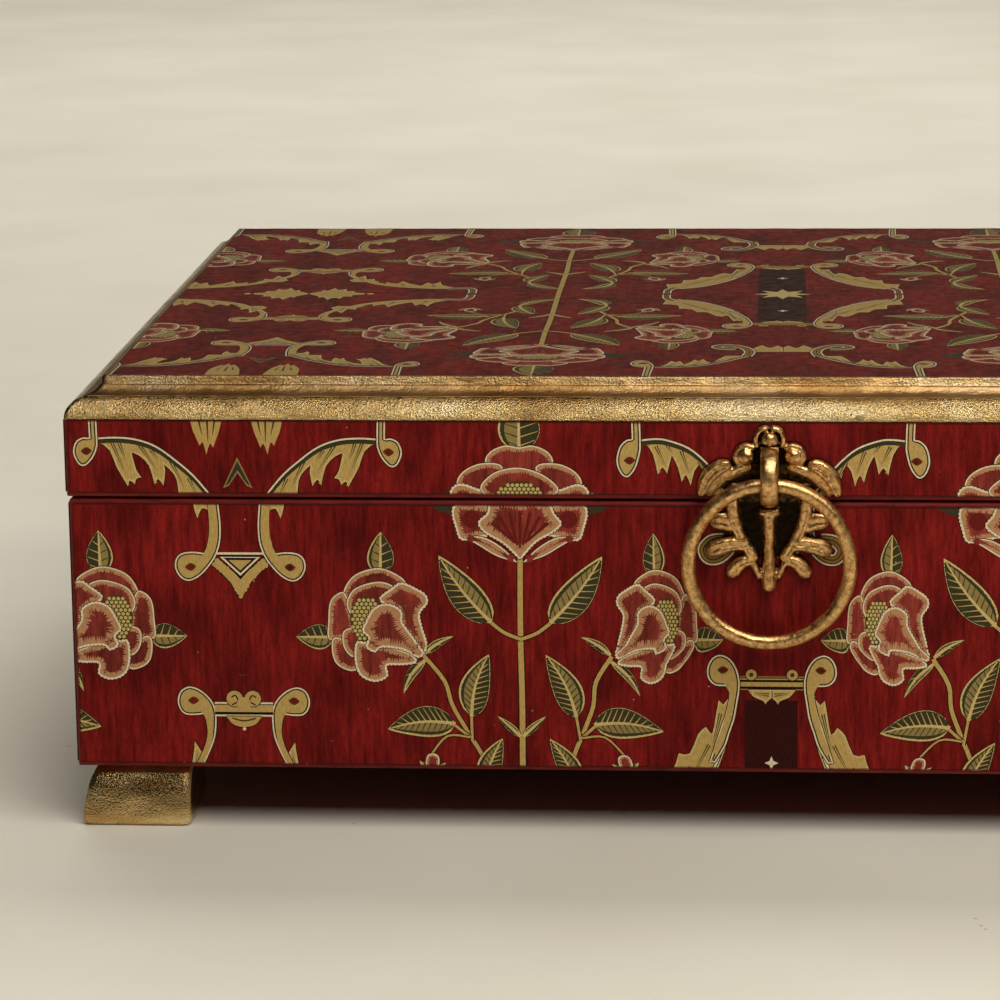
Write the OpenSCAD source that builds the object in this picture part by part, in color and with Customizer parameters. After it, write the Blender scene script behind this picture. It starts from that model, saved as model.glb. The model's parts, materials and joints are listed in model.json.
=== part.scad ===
// Hinged decorative box: board walls under printed paper, gilt moulding round
// the lid, gilt bracket feet and a cast ring pull. Millimetres, +Z up, front
// towards -Y. The origin is under the middle of the whole object, on the table.

/* [Base] */
// Width of the base over its print
base_w = 302; // [240:1:360]
// Depth of the base over its print
base_d = 227; // [180:1:280]
// Height of the base without its feet
base_h = 60; // [45:1:90]
// Thickness of the walls of base and lid
wall = 8; // [7:0.5:11]
// Thickness of the bottom board
bottom_t = 4; // [3:0.5:6]
// Width of the step in the walls that the bottom board sits in
rebate = 4; // [2:0.5:5]
// Radius of the worn outer edges
edge_r = 1; // [0.8:0.1:2]
// Thickness of the printed paper
paper_t = 0.3; // [0.2:0.05:0.5]

/* [Lid] */
// Height of the printed band under the moulding
band_h = 16.8; // [14:0.2:30]
// How far the lid stands proud of the base all round
lid_over = 0.4; // [0.3:0.1:1.5]
// Gap between the lid and the base when closed
seam_gap = 0.5; // [0.4:0.1:0.8]
// Opening angle at which the two back bevels meet
lid_open = 95; // [80:1:105]
// Height of the gilt moulding
mould_h = 8.4; // [7:0.1:12]
// Width of the gilt moulding, seen from above
mould_w = 8.2; // [7.5:0.1:12]
// Inset of the moulding's lower edge from the band
mould_inset = 0.3; // [0:0.1:1]
// Radius of the moulding's outer quarter round
round_r = 4; // [3:0.1:4.5]
// Height of the small step at the moulding's inner edge
fillet_h = 1.8; // [0.8:0.1:2]
// Width of the top of that step
fillet_w = 0.9; // [0.6:0.1:1.4]
// Radius of the hollow between the step and the round
cove_r = 3.6; // [2:0.1:3.6]
// Thickness of the top panel's lip under the moulding
lip_t = 3.4; // [2.5:0.1:4.5]
// Reach of the top panel's lip under the moulding
lip_w = 3; // [2:0.1:4]

/* [Lining] */
// Thickness of the felt
felt_t = 1.2; // [0.8:0.1:2]
// Drop of the wall felt below the rim
felt_drop = 5; // [3:0.5:15]

/* [Feet] */
// Height of the feet
foot_h = 13.8; // [8:0.2:20]
// Width of each foot at the floor
foot_w = 24.5; // [20:0.5:35]
// Inset of the foot's outer faces at the floor
foot_inset = 0.4; // [0:0.1:4]
// How far the top of a foot is drawn in by its rounded faces
foot_draw = 3.6; // [2:0.2:6]

/* [Hinges] */
// Width of each hinge
hinge_w = 24; // [18:1:36]
// Distance of each hinge from the middle of the box
hinge_x = 92; // [50:1:100]
// Set of the pin in from the back of the base
hinge_set = 2.4; // [2.1:0.1:3]
// Radius of the knuckles
knuckle_r = 1.5; // [1.2:0.1:1.8]
// Radius of the hinge pins
pin_r = 0.7; // [0.5:0.05:0.9]
// Thickness of the leaves
leaf_t = 0.8; // [0.6:0.05:1]
// Radius of the screw heads in the leaves
hinge_head_r = 1.3; // [1:0.1:1.5]
// Length of the hinge screws
hinge_screw_l = 7; // [5:0.5:10]

/* [Ring pull] */
// Radius of the ring along the middle of its bar
ring_R = 17.15; // [15:0.05:20]
// Radius of the ring's bar
ring_r = 1.7; // [1.2:0.1:1.7]
// Radius of the eye along the middle of its band
eye_R = 4.8; // [4.8:0.05:5.4]
// Width of the eye's band, seen from the front
eye_w = 3.8; // [3:0.1:4.4]
// Thickness of the eye's band
eye_t = 2.8; // [2:0.1:2.8]
// Height of the eye's middle above the seam
eye_z = 6; // [5.5:0.1:7]
// Length of the eye's straight legs
eye_leg = 2; // [1.7:0.1:3]
// Thickness of the back plate's web
plate_t = 1.4; // [1:0.1:1.6]
// Height of the back plate's relief above its web
relief = 1.6; // [1:0.1:2]
// Radius of the pull's threaded shank
shank_r = 1.5; // [1.2:0.1:1.7]

/* [Hidden] */
$fn = 48;

// Colours, as the photograph shows them
lacquer_red = [0.42, 0.07, 0.08];
edge_brown = [0.11, 0.06, 0.05];
gilt = [0.74, 0.56, 0.27];
brass = [0.78, 0.5, 0.2];
felt_red = [0.2, 0.04, 0.05];

// Heights
rim_z = foot_h + base_h;
lid_z = rim_z + seam_gap;
seam_z = rim_z + seam_gap / 2;
band_top = lid_z + band_h;
lid_top = band_top + mould_h;

// Outer sizes of the lid, and of the boards inside the print
lid_w = base_w + 2 * lid_over;
lid_d = base_d + 2 * lid_over;
board_w = base_w - 2 * paper_t;
board_d = base_d - 2 * paper_t;
lid_board_w = lid_w - 2 * paper_t;
lid_board_d = lid_d - 2 * paper_t;
board_r = edge_r - paper_t;
inner_w = board_w - 2 * wall;
inner_d = board_d - 2 * wall;

// Clearances: a glued joint, a running joint and a loose part
fit = 0.05;
slack = 0.2;
over = 1; // how far a cut runs past what it cuts

// Hinges: the pin lies where the two back bevels meet
pin_y = base_d / 2 - hinge_set;
bevel = lid_open / 2;
leaf_gap = 0.3;
leaf_d = wall + paper_t - hinge_set - 2 * slack;
knuckle_w = hinge_w / 3;
screw_x = hinge_w / 3;
screw_y = (knuckle_r + leaf_d) / 2;
hinge_shank_r = hinge_head_r / 2;
hinge_head_h = leaf_t * 0.9;
slot_w = 0.4;
slot_h = 0.3;

// Ring pull, measured out from the lid's front face
bar_t = 1.2;
eye_base = plate_t + bar_t;
eye_mid = eye_base + eye_leg;
eye_outer = eye_R + eye_t / 2;
eye_hole = eye_R - eye_t / 2;
eye_reach = eye_mid + eye_outer;
ring_y = eye_mid;
ring_z = seam_z + eye_z - eye_hole + ring_r + slack;
rail_back = paper_t + lid_over + wall;
washer_r = 3.5;
washer_t = 0.6;
nut_flats = 5.5;
nut_t = 2.4;
shank_l = rail_back + washer_t + nut_t + 1;

// The box's middle, set so that the origin is the middle of everything
front_reach = lid_over + eye_reach;
box_y = (front_reach - lid_over) / 2;
face_y = -lid_d / 2;

// Foot screws
foot_screw_r = 1.5;
foot_head_r = 2.8;
foot_head_h = 1.8;
foot_screw_l = 12;
foot_mid = foot_inset + foot_w / 2;

// Shapes that repeat

// A rectangle with round corners, about its own middle
module round_rect(w, h, r) {
    square([w - 2 * r, h], center = true);
    square([w, h - 2 * r], center = true);
    for (x = [-1, 1], y = [-1, 1])
        translate([x * (w / 2 - r), y * (h / 2 - r)]) circle(r);
}

// A block standing at height z, with every outer edge rounded
module round_block(w, d, z, h, r) {
    translate([0, 0, z + h / 2])
        intersection() {
            linear_extrude(h, center = true) round_rect(w, d, r);
            rotate([90, 0, 0])
                linear_extrude(d, center = true) round_rect(w, h, r);
            rotate([90, 0, 90])
                linear_extrude(w, center = true) round_rect(d, h, r);
        }
}

// A plain block between two corners
module block(a, b) {
    translate(a) cube(b - a);
}

// The wedge behind the pin that is cut from base (dir -1) or lid (dir 1)
module back_bevel(dir) {
    reach = hinge_set + lid_over + over;
    drop = seam_gap / 2 + reach * tan(bevel);
    translate([-lid_w, pin_y, seam_z])
        rotate([90, 0, 90])
            linear_extrude(2 * lid_w)
                polygon([[0, 0], [0, dir * seam_gap / 2],
                         [reach, dir * drop], [reach, 0]]);
}

// Room for one hinge in the back wall or rail
module hinge_room(dir) {
    for (side = [-1, 1])
        translate([side * hinge_x, pin_y, seam_z]) {
            rotate([0, 90, 0])
                cylinder(r = knuckle_r + slack, h = hinge_w + 2 * slack,
                         center = true);
            depth = leaf_gap / 2 + leaf_t + fit;
            translate([0, -leaf_d / 2, dir * depth / 2])
                cube([hinge_w + 2 * slack, leaf_d + 2 * slack, depth],
                     center = true);
            for (x = [-1, 1])
                translate([x * screw_x, -screw_y, 0])
                    rotate([dir > 0 ? 0 : 180, 0, 0])
                        cylinder(r = hinge_shank_r + fit,
                                 h = depth + hinge_screw_l);
        }
}

// The base's boards as one block, before they are cut apart
module base_blank() {
    difference() {
        round_block(board_w, board_d, foot_h, base_h, board_r);
        back_bevel(-1);
        hinge_room(-1);
        translate([0, 0, foot_h + base_h / 2 + bottom_t])
            cube([inner_w, inner_d, base_h], center = true);
        translate([0, 0, foot_h + (bottom_t - over) / 2])
            cube([inner_w + 2 * rebate, inner_d + 2 * rebate,
                  bottom_t + over], center = true);
    }
}

// The lid's rails as one block, before they are cut apart
module lid_blank() {
    difference() {
        intersection() {
            round_block(lid_board_w, lid_board_d, lid_z,
                        band_h + 2 * board_r, board_r);
            translate([0, 0, lid_z + band_h / 2])
                cube([lid_w, lid_d, band_h], center = true);
        }
        back_bevel(1);
        hinge_room(1);
        translate([0, 0, lid_z + band_h / 2])
            cube([inner_w, inner_d, band_h + 2 * over], center = true);
        translate([0, face_y - over, seam_z + eye_z])
            rotate([-90, 0, 0])
                cylinder(r = shank_r + fit, h = rail_back + 2 * over);
    }
}

// The part of a blank that is the front (-1) or back (1) board
module long_board(side) {
    intersection() {
        children();
        translate([0, side * (inner_d / 2 + wall), rim_z])
            cube([2 * lid_w, 2 * wall, 4 * base_h], center = true);
    }
}

// The part of a blank that is the left (-1) or right (1) board
module short_board(side) {
    intersection() {
        children();
        translate([side * (inner_w / 2 + wall), 0, rim_z])
            cube([2 * wall, inner_d, 4 * base_h], center = true);
    }
}

// Base

module base_long_wall(side) {
    color(edge_brown) translate([0, box_y, 0]) long_board(side) base_blank();
}

module base_short_wall(side) {
    color(edge_brown) translate([0, box_y, 0]) short_board(side) base_blank();
}

// Positions of the four feet
foot_corners = [for (x = [-1, 1], y = [-1, 1])
    [x * (base_w / 2 - foot_mid), y * (base_d / 2 - foot_mid)]];

module base_bottom() {
    color(edge_brown) translate([0, box_y, foot_h])
        difference() {
            translate([0, 0, bottom_t / 2])
                cube([inner_w + 2 * rebate, inner_d + 2 * rebate, bottom_t],
                     center = true);
            for (c = foot_corners)
                translate([c.x, c.y, 0]) foot_screw(fit);
        }
}

// A print sheet: it ends where the rounding of the boards starts
module base_print_long(side) {
    color(lacquer_red) translate([0, box_y, 0])
        difference() {
            translate([0, side * (base_d - paper_t) / 2,
                       foot_h + base_h / 2])
                cube([base_w - 2 * edge_r, paper_t, base_h - 2 * edge_r],
                     center = true);
            back_bevel(-1);
            hinge_room(-1);
        }
}

module base_print_short(side) {
    color(lacquer_red) translate([0, box_y, 0])
        difference() {
            translate([side * (base_w - paper_t) / 2, 0,
                       foot_h + base_h / 2])
                cube([paper_t, base_d - 2 * edge_r, base_h - 2 * edge_r],
                     center = true);
            back_bevel(-1);
        }
}

module base_lining_floor() {
    color(felt_red) translate([0, box_y, foot_h + bottom_t + felt_t / 2])
        cube([inner_w, inner_d, felt_t], center = true);
}

module base_lining_walls() {
    low = foot_h + bottom_t + felt_t;
    high = rim_z - felt_drop;
    color(felt_red) translate([0, box_y, 0])
        for (side = [-1, 1]) {
            translate([0, side * (inner_d - felt_t) / 2, (low + high) / 2])
                cube([inner_w, felt_t, high - low], center = true);
            translate([side * (inner_w - felt_t) / 2, 0, (low + high) / 2])
                cube([felt_t, inner_d - 2 * felt_t, high - low],
                     center = true);
        }
}

// Feet

// The foot's outline seen from one side: outer face to the left
module foot_profile(depth) {
    foot_arc = (foot_h * foot_h + foot_draw * foot_draw) / (2 * foot_draw);
    intersection() {
        square([depth, foot_h]);
        union() {
            translate([foot_arc, 0]) circle(foot_arc, $fn = 96);
            translate([foot_draw + over, 0]) square([depth, foot_h]);
        }
    }
}

// A foot with its outer faces towards -X and -Y, at its outer corner
module foot_block() {
    intersection() {
        rotate([90, 0, 0])
            translate([0, 0, -foot_w]) linear_extrude(foot_w)
                foot_profile(foot_w);
        rotate([90, 0, 90])
            linear_extrude(foot_w) foot_profile(foot_w);
    }
}

module foot(side_x, side_y) {
    color(gilt) translate([0, box_y, 0])
        difference() {
            translate([side_x * (base_w / 2 - foot_inset),
                       side_y * (base_d / 2 - foot_inset), 0])
                mirror([side_x > 0 ? 1 : 0, 0, 0])
                    mirror([0, side_y > 0 ? 1 : 0, 0])
                        foot_block();
            translate([side_x * (base_w / 2 - foot_mid),
                       side_y * (base_d / 2 - foot_mid), foot_h])
                foot_screw(fit);
        }
}

// A countersunk screw that hangs from the bottom board's upper face
module foot_screw(gap = 0) {
    translate([0, 0, bottom_t - foot_screw_l])
        cylinder(r = foot_screw_r + gap, h = foot_screw_l);
    translate([0, 0, bottom_t - foot_head_h - gap])
        cylinder(r1 = foot_screw_r + gap, r2 = foot_head_r + gap,
                 h = foot_head_h + gap, $fn = 32);
}

module foot_screws() {
    color(brass) translate([0, box_y, foot_h])
        for (c = foot_corners)
            translate([c.x, c.y, 0])
                difference() {
                    foot_screw();
                    translate([0, 0, bottom_t])
                        cube([3 * foot_head_r, 2 * slot_w, 2 * slot_w],
                             center = true);
                }
}

// Hinges

// Knuckles along X: k 0 is the middle one, k 1 the two outer ones
module knuckles(k) {
    for (side = k == 0 ? [0] : [-1, 1])
        translate([side * knuckle_w, 0, 0]) rotate([0, 90, 0])
            cylinder(r = knuckle_r, h = knuckle_w - slack, center = true);
}

// Room for the other leaf's knuckles
module knuckle_room(k) {
    for (side = k == 0 ? [0] : [-1, 1])
        translate([side * knuckle_w, 0, 0]) rotate([0, 90, 0])
            cylinder(r = knuckle_r + slack, h = knuckle_w + slack,
                     center = true);
}

module hinge_screw(gap = 0) {
    translate([0, 0, -hinge_head_h])
        cylinder(r1 = hinge_shank_r + gap, r2 = hinge_head_r + gap,
                 h = hinge_head_h, $fn = 32);
    translate([0, 0, -hinge_screw_l])
        cylinder(r = hinge_shank_r + gap, h = hinge_screw_l);
}

// One leaf: dir -1 is the base's, with two knuckles, and 1 the lid's
module hinge_leaf(side, dir) {
    own = dir < 0 ? 1 : 0;
    color(brass)
        translate([side * hinge_x, box_y + pin_y, seam_z])
            difference() {
                union() {
                    knuckles(own);
                    difference() {
                        translate([0, -leaf_d / 2,
                                   dir * (leaf_gap + leaf_t) / 2])
                            cube([hinge_w, leaf_d, leaf_t], center = true);
                        knuckle_room(1 - own);
                    }
                }
                rotate([0, 90, 0])
                    cylinder(r = pin_r + fit, h = 2 * hinge_w,
                             center = true);
                for (x = [-1, 1])
                    translate([x * screw_x, -screw_y, dir * leaf_gap / 2])
                        mirror([0, 0, dir > 0 ? 1 : 0]) {
                            hinge_screw(fit);
                            cylinder(r = hinge_head_r + fit, h = leaf_gap);
                        }
            }
}

module hinge_pin(side) {
    color(brass)
        translate([side * hinge_x, box_y + pin_y, seam_z])
            rotate([0, 90, 0])
                cylinder(r = pin_r, h = hinge_w, center = true);
}

module hinge_screws(dir) {
    color(brass)
        for (side = [-1, 1], x = [-1, 1])
            translate([side * hinge_x + x * screw_x,
                       box_y + pin_y - screw_y,
                       seam_z + dir * leaf_gap / 2])
                mirror([0, 0, dir > 0 ? 1 : 0])
                    difference() {
                        hinge_screw();
                        cube([3 * hinge_head_r, slot_w, 2 * slot_h],
                             center = true);
                    }
}

// Lid

module lid_long_rail(side) {
    color(edge_brown) translate([0, box_y, 0]) long_board(side) lid_blank();
}

module lid_short_rail(side) {
    color(edge_brown) translate([0, box_y, 0]) short_board(side) lid_blank();
}

panel_w = lid_w - 2 * (mould_inset + mould_w);
panel_d = lid_d - 2 * (mould_inset + mould_w);

module lid_top_panel() {
    color(edge_brown) translate([0, box_y, band_top]) {
        translate([0, 0, lip_t / 2])
            cube([panel_w + 2 * lip_w, panel_d + 2 * lip_w, lip_t],
                 center = true);
        translate([0, 0, (mould_h - paper_t) / 2])
            cube([panel_w, panel_d, mould_h - paper_t], center = true);
    }
}

// The moulding's section: x runs outwards from the panel, y up
module mould_section() {
    difference() {
        union() {
            difference() {
                square([cove_x, mould_h - fillet_h]);
                translate([cove_x, cove_y]) {
                    circle(cove_r, $fn = 96);
                    translate([-cove_r, 0]) square(2 * mould_h);
                }
            }
            square([fillet_w, mould_h]);
            square([mould_w, mould_foot]);
            translate([mould_w - round_r, mould_foot])
                intersection() {
                    circle(round_r, $fn = 96);
                    square(round_r);
                }
        }
        translate([-over, -over]) square([lip_w + over, lip_t + over]);
    }
}

// One mitred length of moulding along X, on the -Y side of a frame
module mould_length(long, short) {
    half = long / 2;
    intersection() {
        translate([-half, -short / 2 + mould_w, 0])
            rotate([90, 0, 90]) linear_extrude(long)
                mirror([1, 0]) mould_section();
        linear_extrude(mould_h)
            polygon([[-half, -short / 2], [half, -short / 2],
                     [half - short / 2, 0], [short / 2 - half, 0]]);
    }
}

// The moulding's straight foot, and the middle of its hollow
mould_foot = 0.4;
mould_step = 0.3;
cove_x = mould_w - round_r + mould_step;
cove_y = mould_foot + round_r + mould_step + cove_r;

frame_w = lid_w - 2 * mould_inset;
frame_d = lid_d - 2 * mould_inset;

module lid_moulding_long(side) {
    color(gilt) translate([0, box_y, band_top])
        rotate([0, 0, side > 0 ? 180 : 0]) mould_length(frame_w, frame_d);
}

module lid_moulding_short(side) {
    color(gilt) translate([0, box_y, band_top])
        rotate([0, 0, side * 90]) mould_side(frame_d, frame_w);
}

// The short lengths: the same section, mitred to the long ones
module mould_side(long, short) {
    half = long / 2;
    intersection() {
        translate([-half, -short / 2 + mould_w, 0])
            rotate([90, 0, 90]) linear_extrude(long)
                mirror([1, 0]) mould_section();
        linear_extrude(mould_h)
            polygon([[-half, -short / 2], [half, -short / 2],
                     [0, half - short / 2]]);
    }
}

module lid_print_long(side) {
    color(lacquer_red) translate([0, box_y, 0])
        difference() {
            translate([0, side * (lid_d - paper_t) / 2,
                       lid_z + (band_h + edge_r) / 2])
                cube([lid_w - 2 * edge_r, paper_t, band_h - edge_r],
                     center = true);
            back_bevel(1);
            hinge_room(1);
            translate([0, face_y - over, seam_z + eye_z])
                rotate([-90, 0, 0])
                    cylinder(r = shank_r + fit, h = 2 * over);
        }
}

module lid_print_short(side) {
    color(lacquer_red) translate([0, box_y, 0])
        difference() {
            translate([side * (lid_w - paper_t) / 2, 0,
                       lid_z + (band_h + edge_r) / 2])
                cube([paper_t, lid_d - 2 * edge_r, band_h - edge_r],
                     center = true);
            back_bevel(1);
        }
}

module lid_print_top() {
    color(lacquer_red) translate([0, box_y, lid_top - paper_t / 2])
        cube([panel_w, panel_d, paper_t], center = true);
}

module lid_lining() {
    color(felt_red) translate([0, box_y, band_top - felt_t / 2])
        cube([inner_w, inner_d, felt_t], center = true);
}

// Ring pull

// Leaf shapes of the cast plate: [x, z above the seam, radius] from root to
// tip, on the right-hand side
plate_lobes = [
    [[2.2, 11.6, 0.8], [2.9, 13.6, 0.8], [2.1, 15.5, 0.8], [0, 16.2, 0.8]],
    [[2.9, 11.3, 0.7], [4.6, 12.3, 0.8], [6.6, 11.6, 0.8],
     [7.2, 9.6, 0.8], [6.2, 8, 0.7]],
    [[7.8, 8.2, 1.2], [10.4, 7.6, 1.9], [12.8, 5.6, 2], [14, 3.2, 1.5],
     [14.6, 1, 0.8]],
    [[3.4, 8, 1], [8, 6.4, 1.3], [11.4, 3.8, 1.2], [13.2, 1.2, 0.7]],
    [[7.4, 4, 1.1], [7.9, -0.5, 1.5], [7.1, -5, 1.5], [5.2, -9, 1.4],
     [2.6, -13, 1.4]],
    [[6.6, -6, 1.2], [9.8, -4.6, 1.7], [12.8, -4.6, 1.3]],
    [[4, -9.4, 1.2], [7.6, -9.4, 1.7], [11, -10.4, 1.7],
     [12.9, -12, 1.2]],
    [[3, -12.6, 1.2], [6, -13.2, 1.5], [7.8, -15.4, 1.5],
     [8.2, -17, 1.1]],
    [[3.6, -12.6, 0.9], [1.6, -17, 0.9]]
];

// A rounded bar through points, no higher than the relief
module lobe(points) {
    for (i = [1 : len(points) - 1])
        hull()
            for (p = [points[i - 1], points[i]])
                translate([p.x, 0, p.y])
                    scale([1, min(1, relief / p.z), 1])
                        sphere(p.z, $fn = 14);
}

module pull_plate() {
    color(brass)
        translate([0, box_y + face_y, seam_z])
            difference() {
                union() {
                    translate([0, -plate_t / 2, 0]) {
                        for (side = [0, 1])
                            mirror([side, 0, 0])
                                for (p = plate_lobes) lobe(p);
                        lobe([[0, 13.5, 1.9], [0, 13.4, 1.9]]);
                        for (side = [-1, 1])
                            lobe([[side * 5, 10.1, 1.9], [side * 5, 10, 1.9]]);
                        lobe([[0, -2, 1.6], [0, -10, 1.3], [0, -18, 1.7]]);
                        lobe([[-2.2, -2.4, 1.1], [2.2, -2.4, 1.1]]);
                    }
                    rotate([90, 0, 0]) linear_extrude(plate_t)
                        plate_web();
                }
                translate([-base_w, 0, -base_w])
                    cube([2 * base_w, base_w, 2 * base_w]);
                translate([0, over, eye_z]) rotate([90, 0, 0])
                    cylinder(r = shank_r + fit, h = 2 * eye_reach);
                block([-eye_w / 2 - slack, -2 * eye_reach,
                       eye_z - eye_outer - slack],
                      [eye_w / 2 + slack, -plate_t,
                       eye_z + eye_outer + slack]);
            }
}

// The web that joins the plate's leaves, in x and z
module plate_web() {
    hull() {
        translate([0, 12.5]) circle(2.8, $fn = 24);
        for (side = [-1, 1]) {
            translate([side * 6, 9.2]) circle(1.6, $fn = 24);
            translate([side * 7.6, 0.5]) circle(1, $fn = 24);
        }
        translate([0, -1.5]) circle(2, $fn = 24);
    }
    for (side = [-1, 1])
        hull() {
            translate([side * 7.6, 5.6]) circle(1.6, $fn = 24);
            translate([side * 12, 4.4]) circle(1, $fn = 24);
        }
}

// The eye's band, cut across
module eye_section() {
    round_rect(eye_t, eye_w, eye_t * 0.4);
}

module pull_eye() {
    color(brass)
        translate([0, box_y + face_y, seam_z + eye_z]) {
            translate([0, -eye_mid, 0]) rotate([90, 0, 90])
                rotate([0, 0, 90]) rotate_extrude(angle = 180)
                    translate([eye_R, 0]) eye_section();
            for (side = [-1, 1])
                translate([0, -eye_mid, side * eye_R])
                    rotate([-90, 90, 0])
                        linear_extrude(eye_leg + bar_t / 2) eye_section();
            block([-eye_w / 2, -eye_base, -eye_outer],
                  [eye_w / 2, -plate_t, eye_outer]);
            translate([0, -plate_t, 0]) rotate([-90, 0, 0])
                cylinder(r = shank_r, h = plate_t + shank_l);
        }
}

module pull_washer() {
    color(brass)
        translate([0, box_y + face_y + rail_back, seam_z + eye_z])
            rotate([-90, 0, 0])
                difference() {
                    cylinder(r = washer_r, h = washer_t);
                    translate([0, 0, -over])
                        cylinder(r = shank_r + fit, h = washer_t + 2 * over);
                }
}

module pull_nut() {
    color(brass)
        translate([0, box_y + face_y + rail_back + washer_t,
                   seam_z + eye_z])
            rotate([-90, 0, 0])
                difference() {
                    cylinder(r = nut_flats / 2 / cos(30), h = nut_t,
                             $fn = 6);
                    translate([0, 0, -over])
                        cylinder(r = shank_r + fit, h = nut_t + 2 * over);
                }
}

module pull_ring() {
    color(brass)
        translate([0, box_y + face_y - ring_y, ring_z - ring_R])
            rotate([90, 0, 0])
                rotate_extrude()
                    translate([ring_R, 0]) circle(ring_r);
}

base_long_wall(-1);  // base_front_wall
base_long_wall(1);  // base_back_wall
base_short_wall(-1);  // base_left_wall
base_short_wall(1);  // base_right_wall
base_bottom();
base_print_long(-1);  // base_print_front
base_print_long(1);  // base_print_back
base_print_short(-1);  // base_print_left
base_print_short(1);  // base_print_right
base_lining_floor();
base_lining_walls();
foot(-1, -1);  // foot_front_left
foot(1, -1);  // foot_front_right
foot(-1, 1);  // foot_back_left
foot(1, 1);  // foot_back_right
foot_screws();
hinge_leaf(-1, -1);  // hinge_base_leaf_left
hinge_leaf(1, -1);  // hinge_base_leaf_right
hinge_pin(-1);  // hinge_pin_left
hinge_pin(1);  // hinge_pin_right
hinge_screws(-1);  // hinge_base_screws
lid_long_rail(-1);  // lid_front_rail
lid_long_rail(1);  // lid_back_rail
lid_short_rail(-1);  // lid_left_rail
lid_short_rail(1);  // lid_right_rail
lid_top_panel();
lid_moulding_long(-1);  // lid_moulding_front
lid_moulding_long(1);  // lid_moulding_back
lid_moulding_short(-1);  // lid_moulding_left
lid_moulding_short(1);  // lid_moulding_right
lid_print_long(-1);  // lid_print_front
lid_print_long(1);  // lid_print_back
lid_print_short(-1);  // lid_print_left
lid_print_short(1);  // lid_print_right
lid_print_top();
lid_lining();
hinge_leaf(-1, 1);  // hinge_lid_leaf_left
hinge_leaf(1, 1);  // hinge_lid_leaf_right
hinge_screws(1);  // hinge_lid_screws
pull_plate();
pull_eye();
pull_washer();
pull_nut();
pull_ring();
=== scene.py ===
import json
import math
import random

import bpy
import numpy as np
from mathutils import Matrix, Vector
from mathutils import noise as mathutils_noise
from mathutils.geometry import delaunay_2d_cdt


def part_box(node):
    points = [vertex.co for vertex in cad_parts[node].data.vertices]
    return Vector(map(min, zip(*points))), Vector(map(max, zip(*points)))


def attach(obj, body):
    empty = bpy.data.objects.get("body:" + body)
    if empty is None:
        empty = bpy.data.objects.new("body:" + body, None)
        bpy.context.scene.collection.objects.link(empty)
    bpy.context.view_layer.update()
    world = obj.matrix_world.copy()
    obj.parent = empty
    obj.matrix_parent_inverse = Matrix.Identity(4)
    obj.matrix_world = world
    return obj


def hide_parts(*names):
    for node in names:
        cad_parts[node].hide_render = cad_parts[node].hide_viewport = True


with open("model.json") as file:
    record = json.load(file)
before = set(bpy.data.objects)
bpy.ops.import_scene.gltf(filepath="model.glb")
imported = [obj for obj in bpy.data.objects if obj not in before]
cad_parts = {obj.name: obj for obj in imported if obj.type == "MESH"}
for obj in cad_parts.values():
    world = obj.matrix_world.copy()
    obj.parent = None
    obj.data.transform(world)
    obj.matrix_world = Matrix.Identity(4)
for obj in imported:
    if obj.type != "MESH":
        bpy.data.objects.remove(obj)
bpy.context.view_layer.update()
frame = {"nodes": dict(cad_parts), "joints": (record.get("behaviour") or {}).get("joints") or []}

# Sizes read from the frame, in metres unless a name ends in _mm
MM = 0.001
nodes = frame["nodes"]
base_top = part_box("base_front_wall")[1].z
lid_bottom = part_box("lid_front_rail")[0].z
seam_z = (base_top + lid_bottom) / 2
top_low, top_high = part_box("lid_print_top")
mid_y = (top_low.y + top_high.y) / 2
random.seed(7)


# Outlines on the printed paper, in millimetres: x across, y up from the seam

def smooth(points, steps=4, closed=True):
    """A soft curve through points. A point with a third value is a corner."""
    count = len(points)
    out = []
    for i in range(count if closed else count - 1):
        before = points[(i - 1) % count if closed else max(i - 1, 0)]
        start, end = points[i], points[(i + 1) % count]
        after = points[(i + 2) % count if closed else min(i + 2, count - 1)]
        for k in range(steps):
            t = k / steps
            point = []
            for axis in (0, 1):
                a, b = start[axis], end[axis]
                leave = b - a if len(start) > 2 else (b - before[axis]) / 2
                arrive = b - a if len(end) > 2 else (after[axis] - a) / 2
                point.append((2 * t ** 3 - 3 * t ** 2 + 1) * a
                             + (t ** 3 - 2 * t ** 2 + t) * leave
                             + (3 * t ** 2 - 2 * t ** 3) * b
                             + (t ** 3 - t ** 2) * arrive)
            out.append(tuple(point))
    if not closed:
        out.append(tuple(points[-1][:2]))
    return out


def area(points):
    return sum(p[0] * q[1] - q[0] * p[1]
               for p, q in zip(points, points[1:] + points[:1])) / 2


def grow(points, by):
    """The outline moved outwards by that much, or inwards if negative."""
    turn = 1 if area(points) > 0 else -1
    out = []
    for before, here, after in zip(points[-1:] + points[:-1], points,
                                   points[1:] + points[:1]):
        dx, dy = after[0] - before[0], after[1] - before[1]
        size = math.hypot(dx, dy) or 1
        out.append((here[0] + turn * by * dy / size,
                    here[1] - turn * by * dx / size))
    return out


def scallop(points, depth=0.35, pitch=1.1):
    """Small round teeth along the outline."""
    turn = 1 if area(points) > 0 else -1
    out = []
    run = 0
    for here, after in zip(points, points[1:] + points[:1]):
        dx, dy = after[0] - here[0], after[1] - here[1]
        size = math.hypot(dx, dy)
        steps = max(1, round(size / (pitch / 4)))
        for k in range(steps):
            t = k / steps
            tooth = depth * abs(math.sin(math.pi * (run + t * size) / pitch))
            out.append((here[0] + dx * t + turn * tooth * dy / (size or 1),
                        here[1] + dy * t - turn * tooth * dx / (size or 1)))
        run += size
    return out


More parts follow.
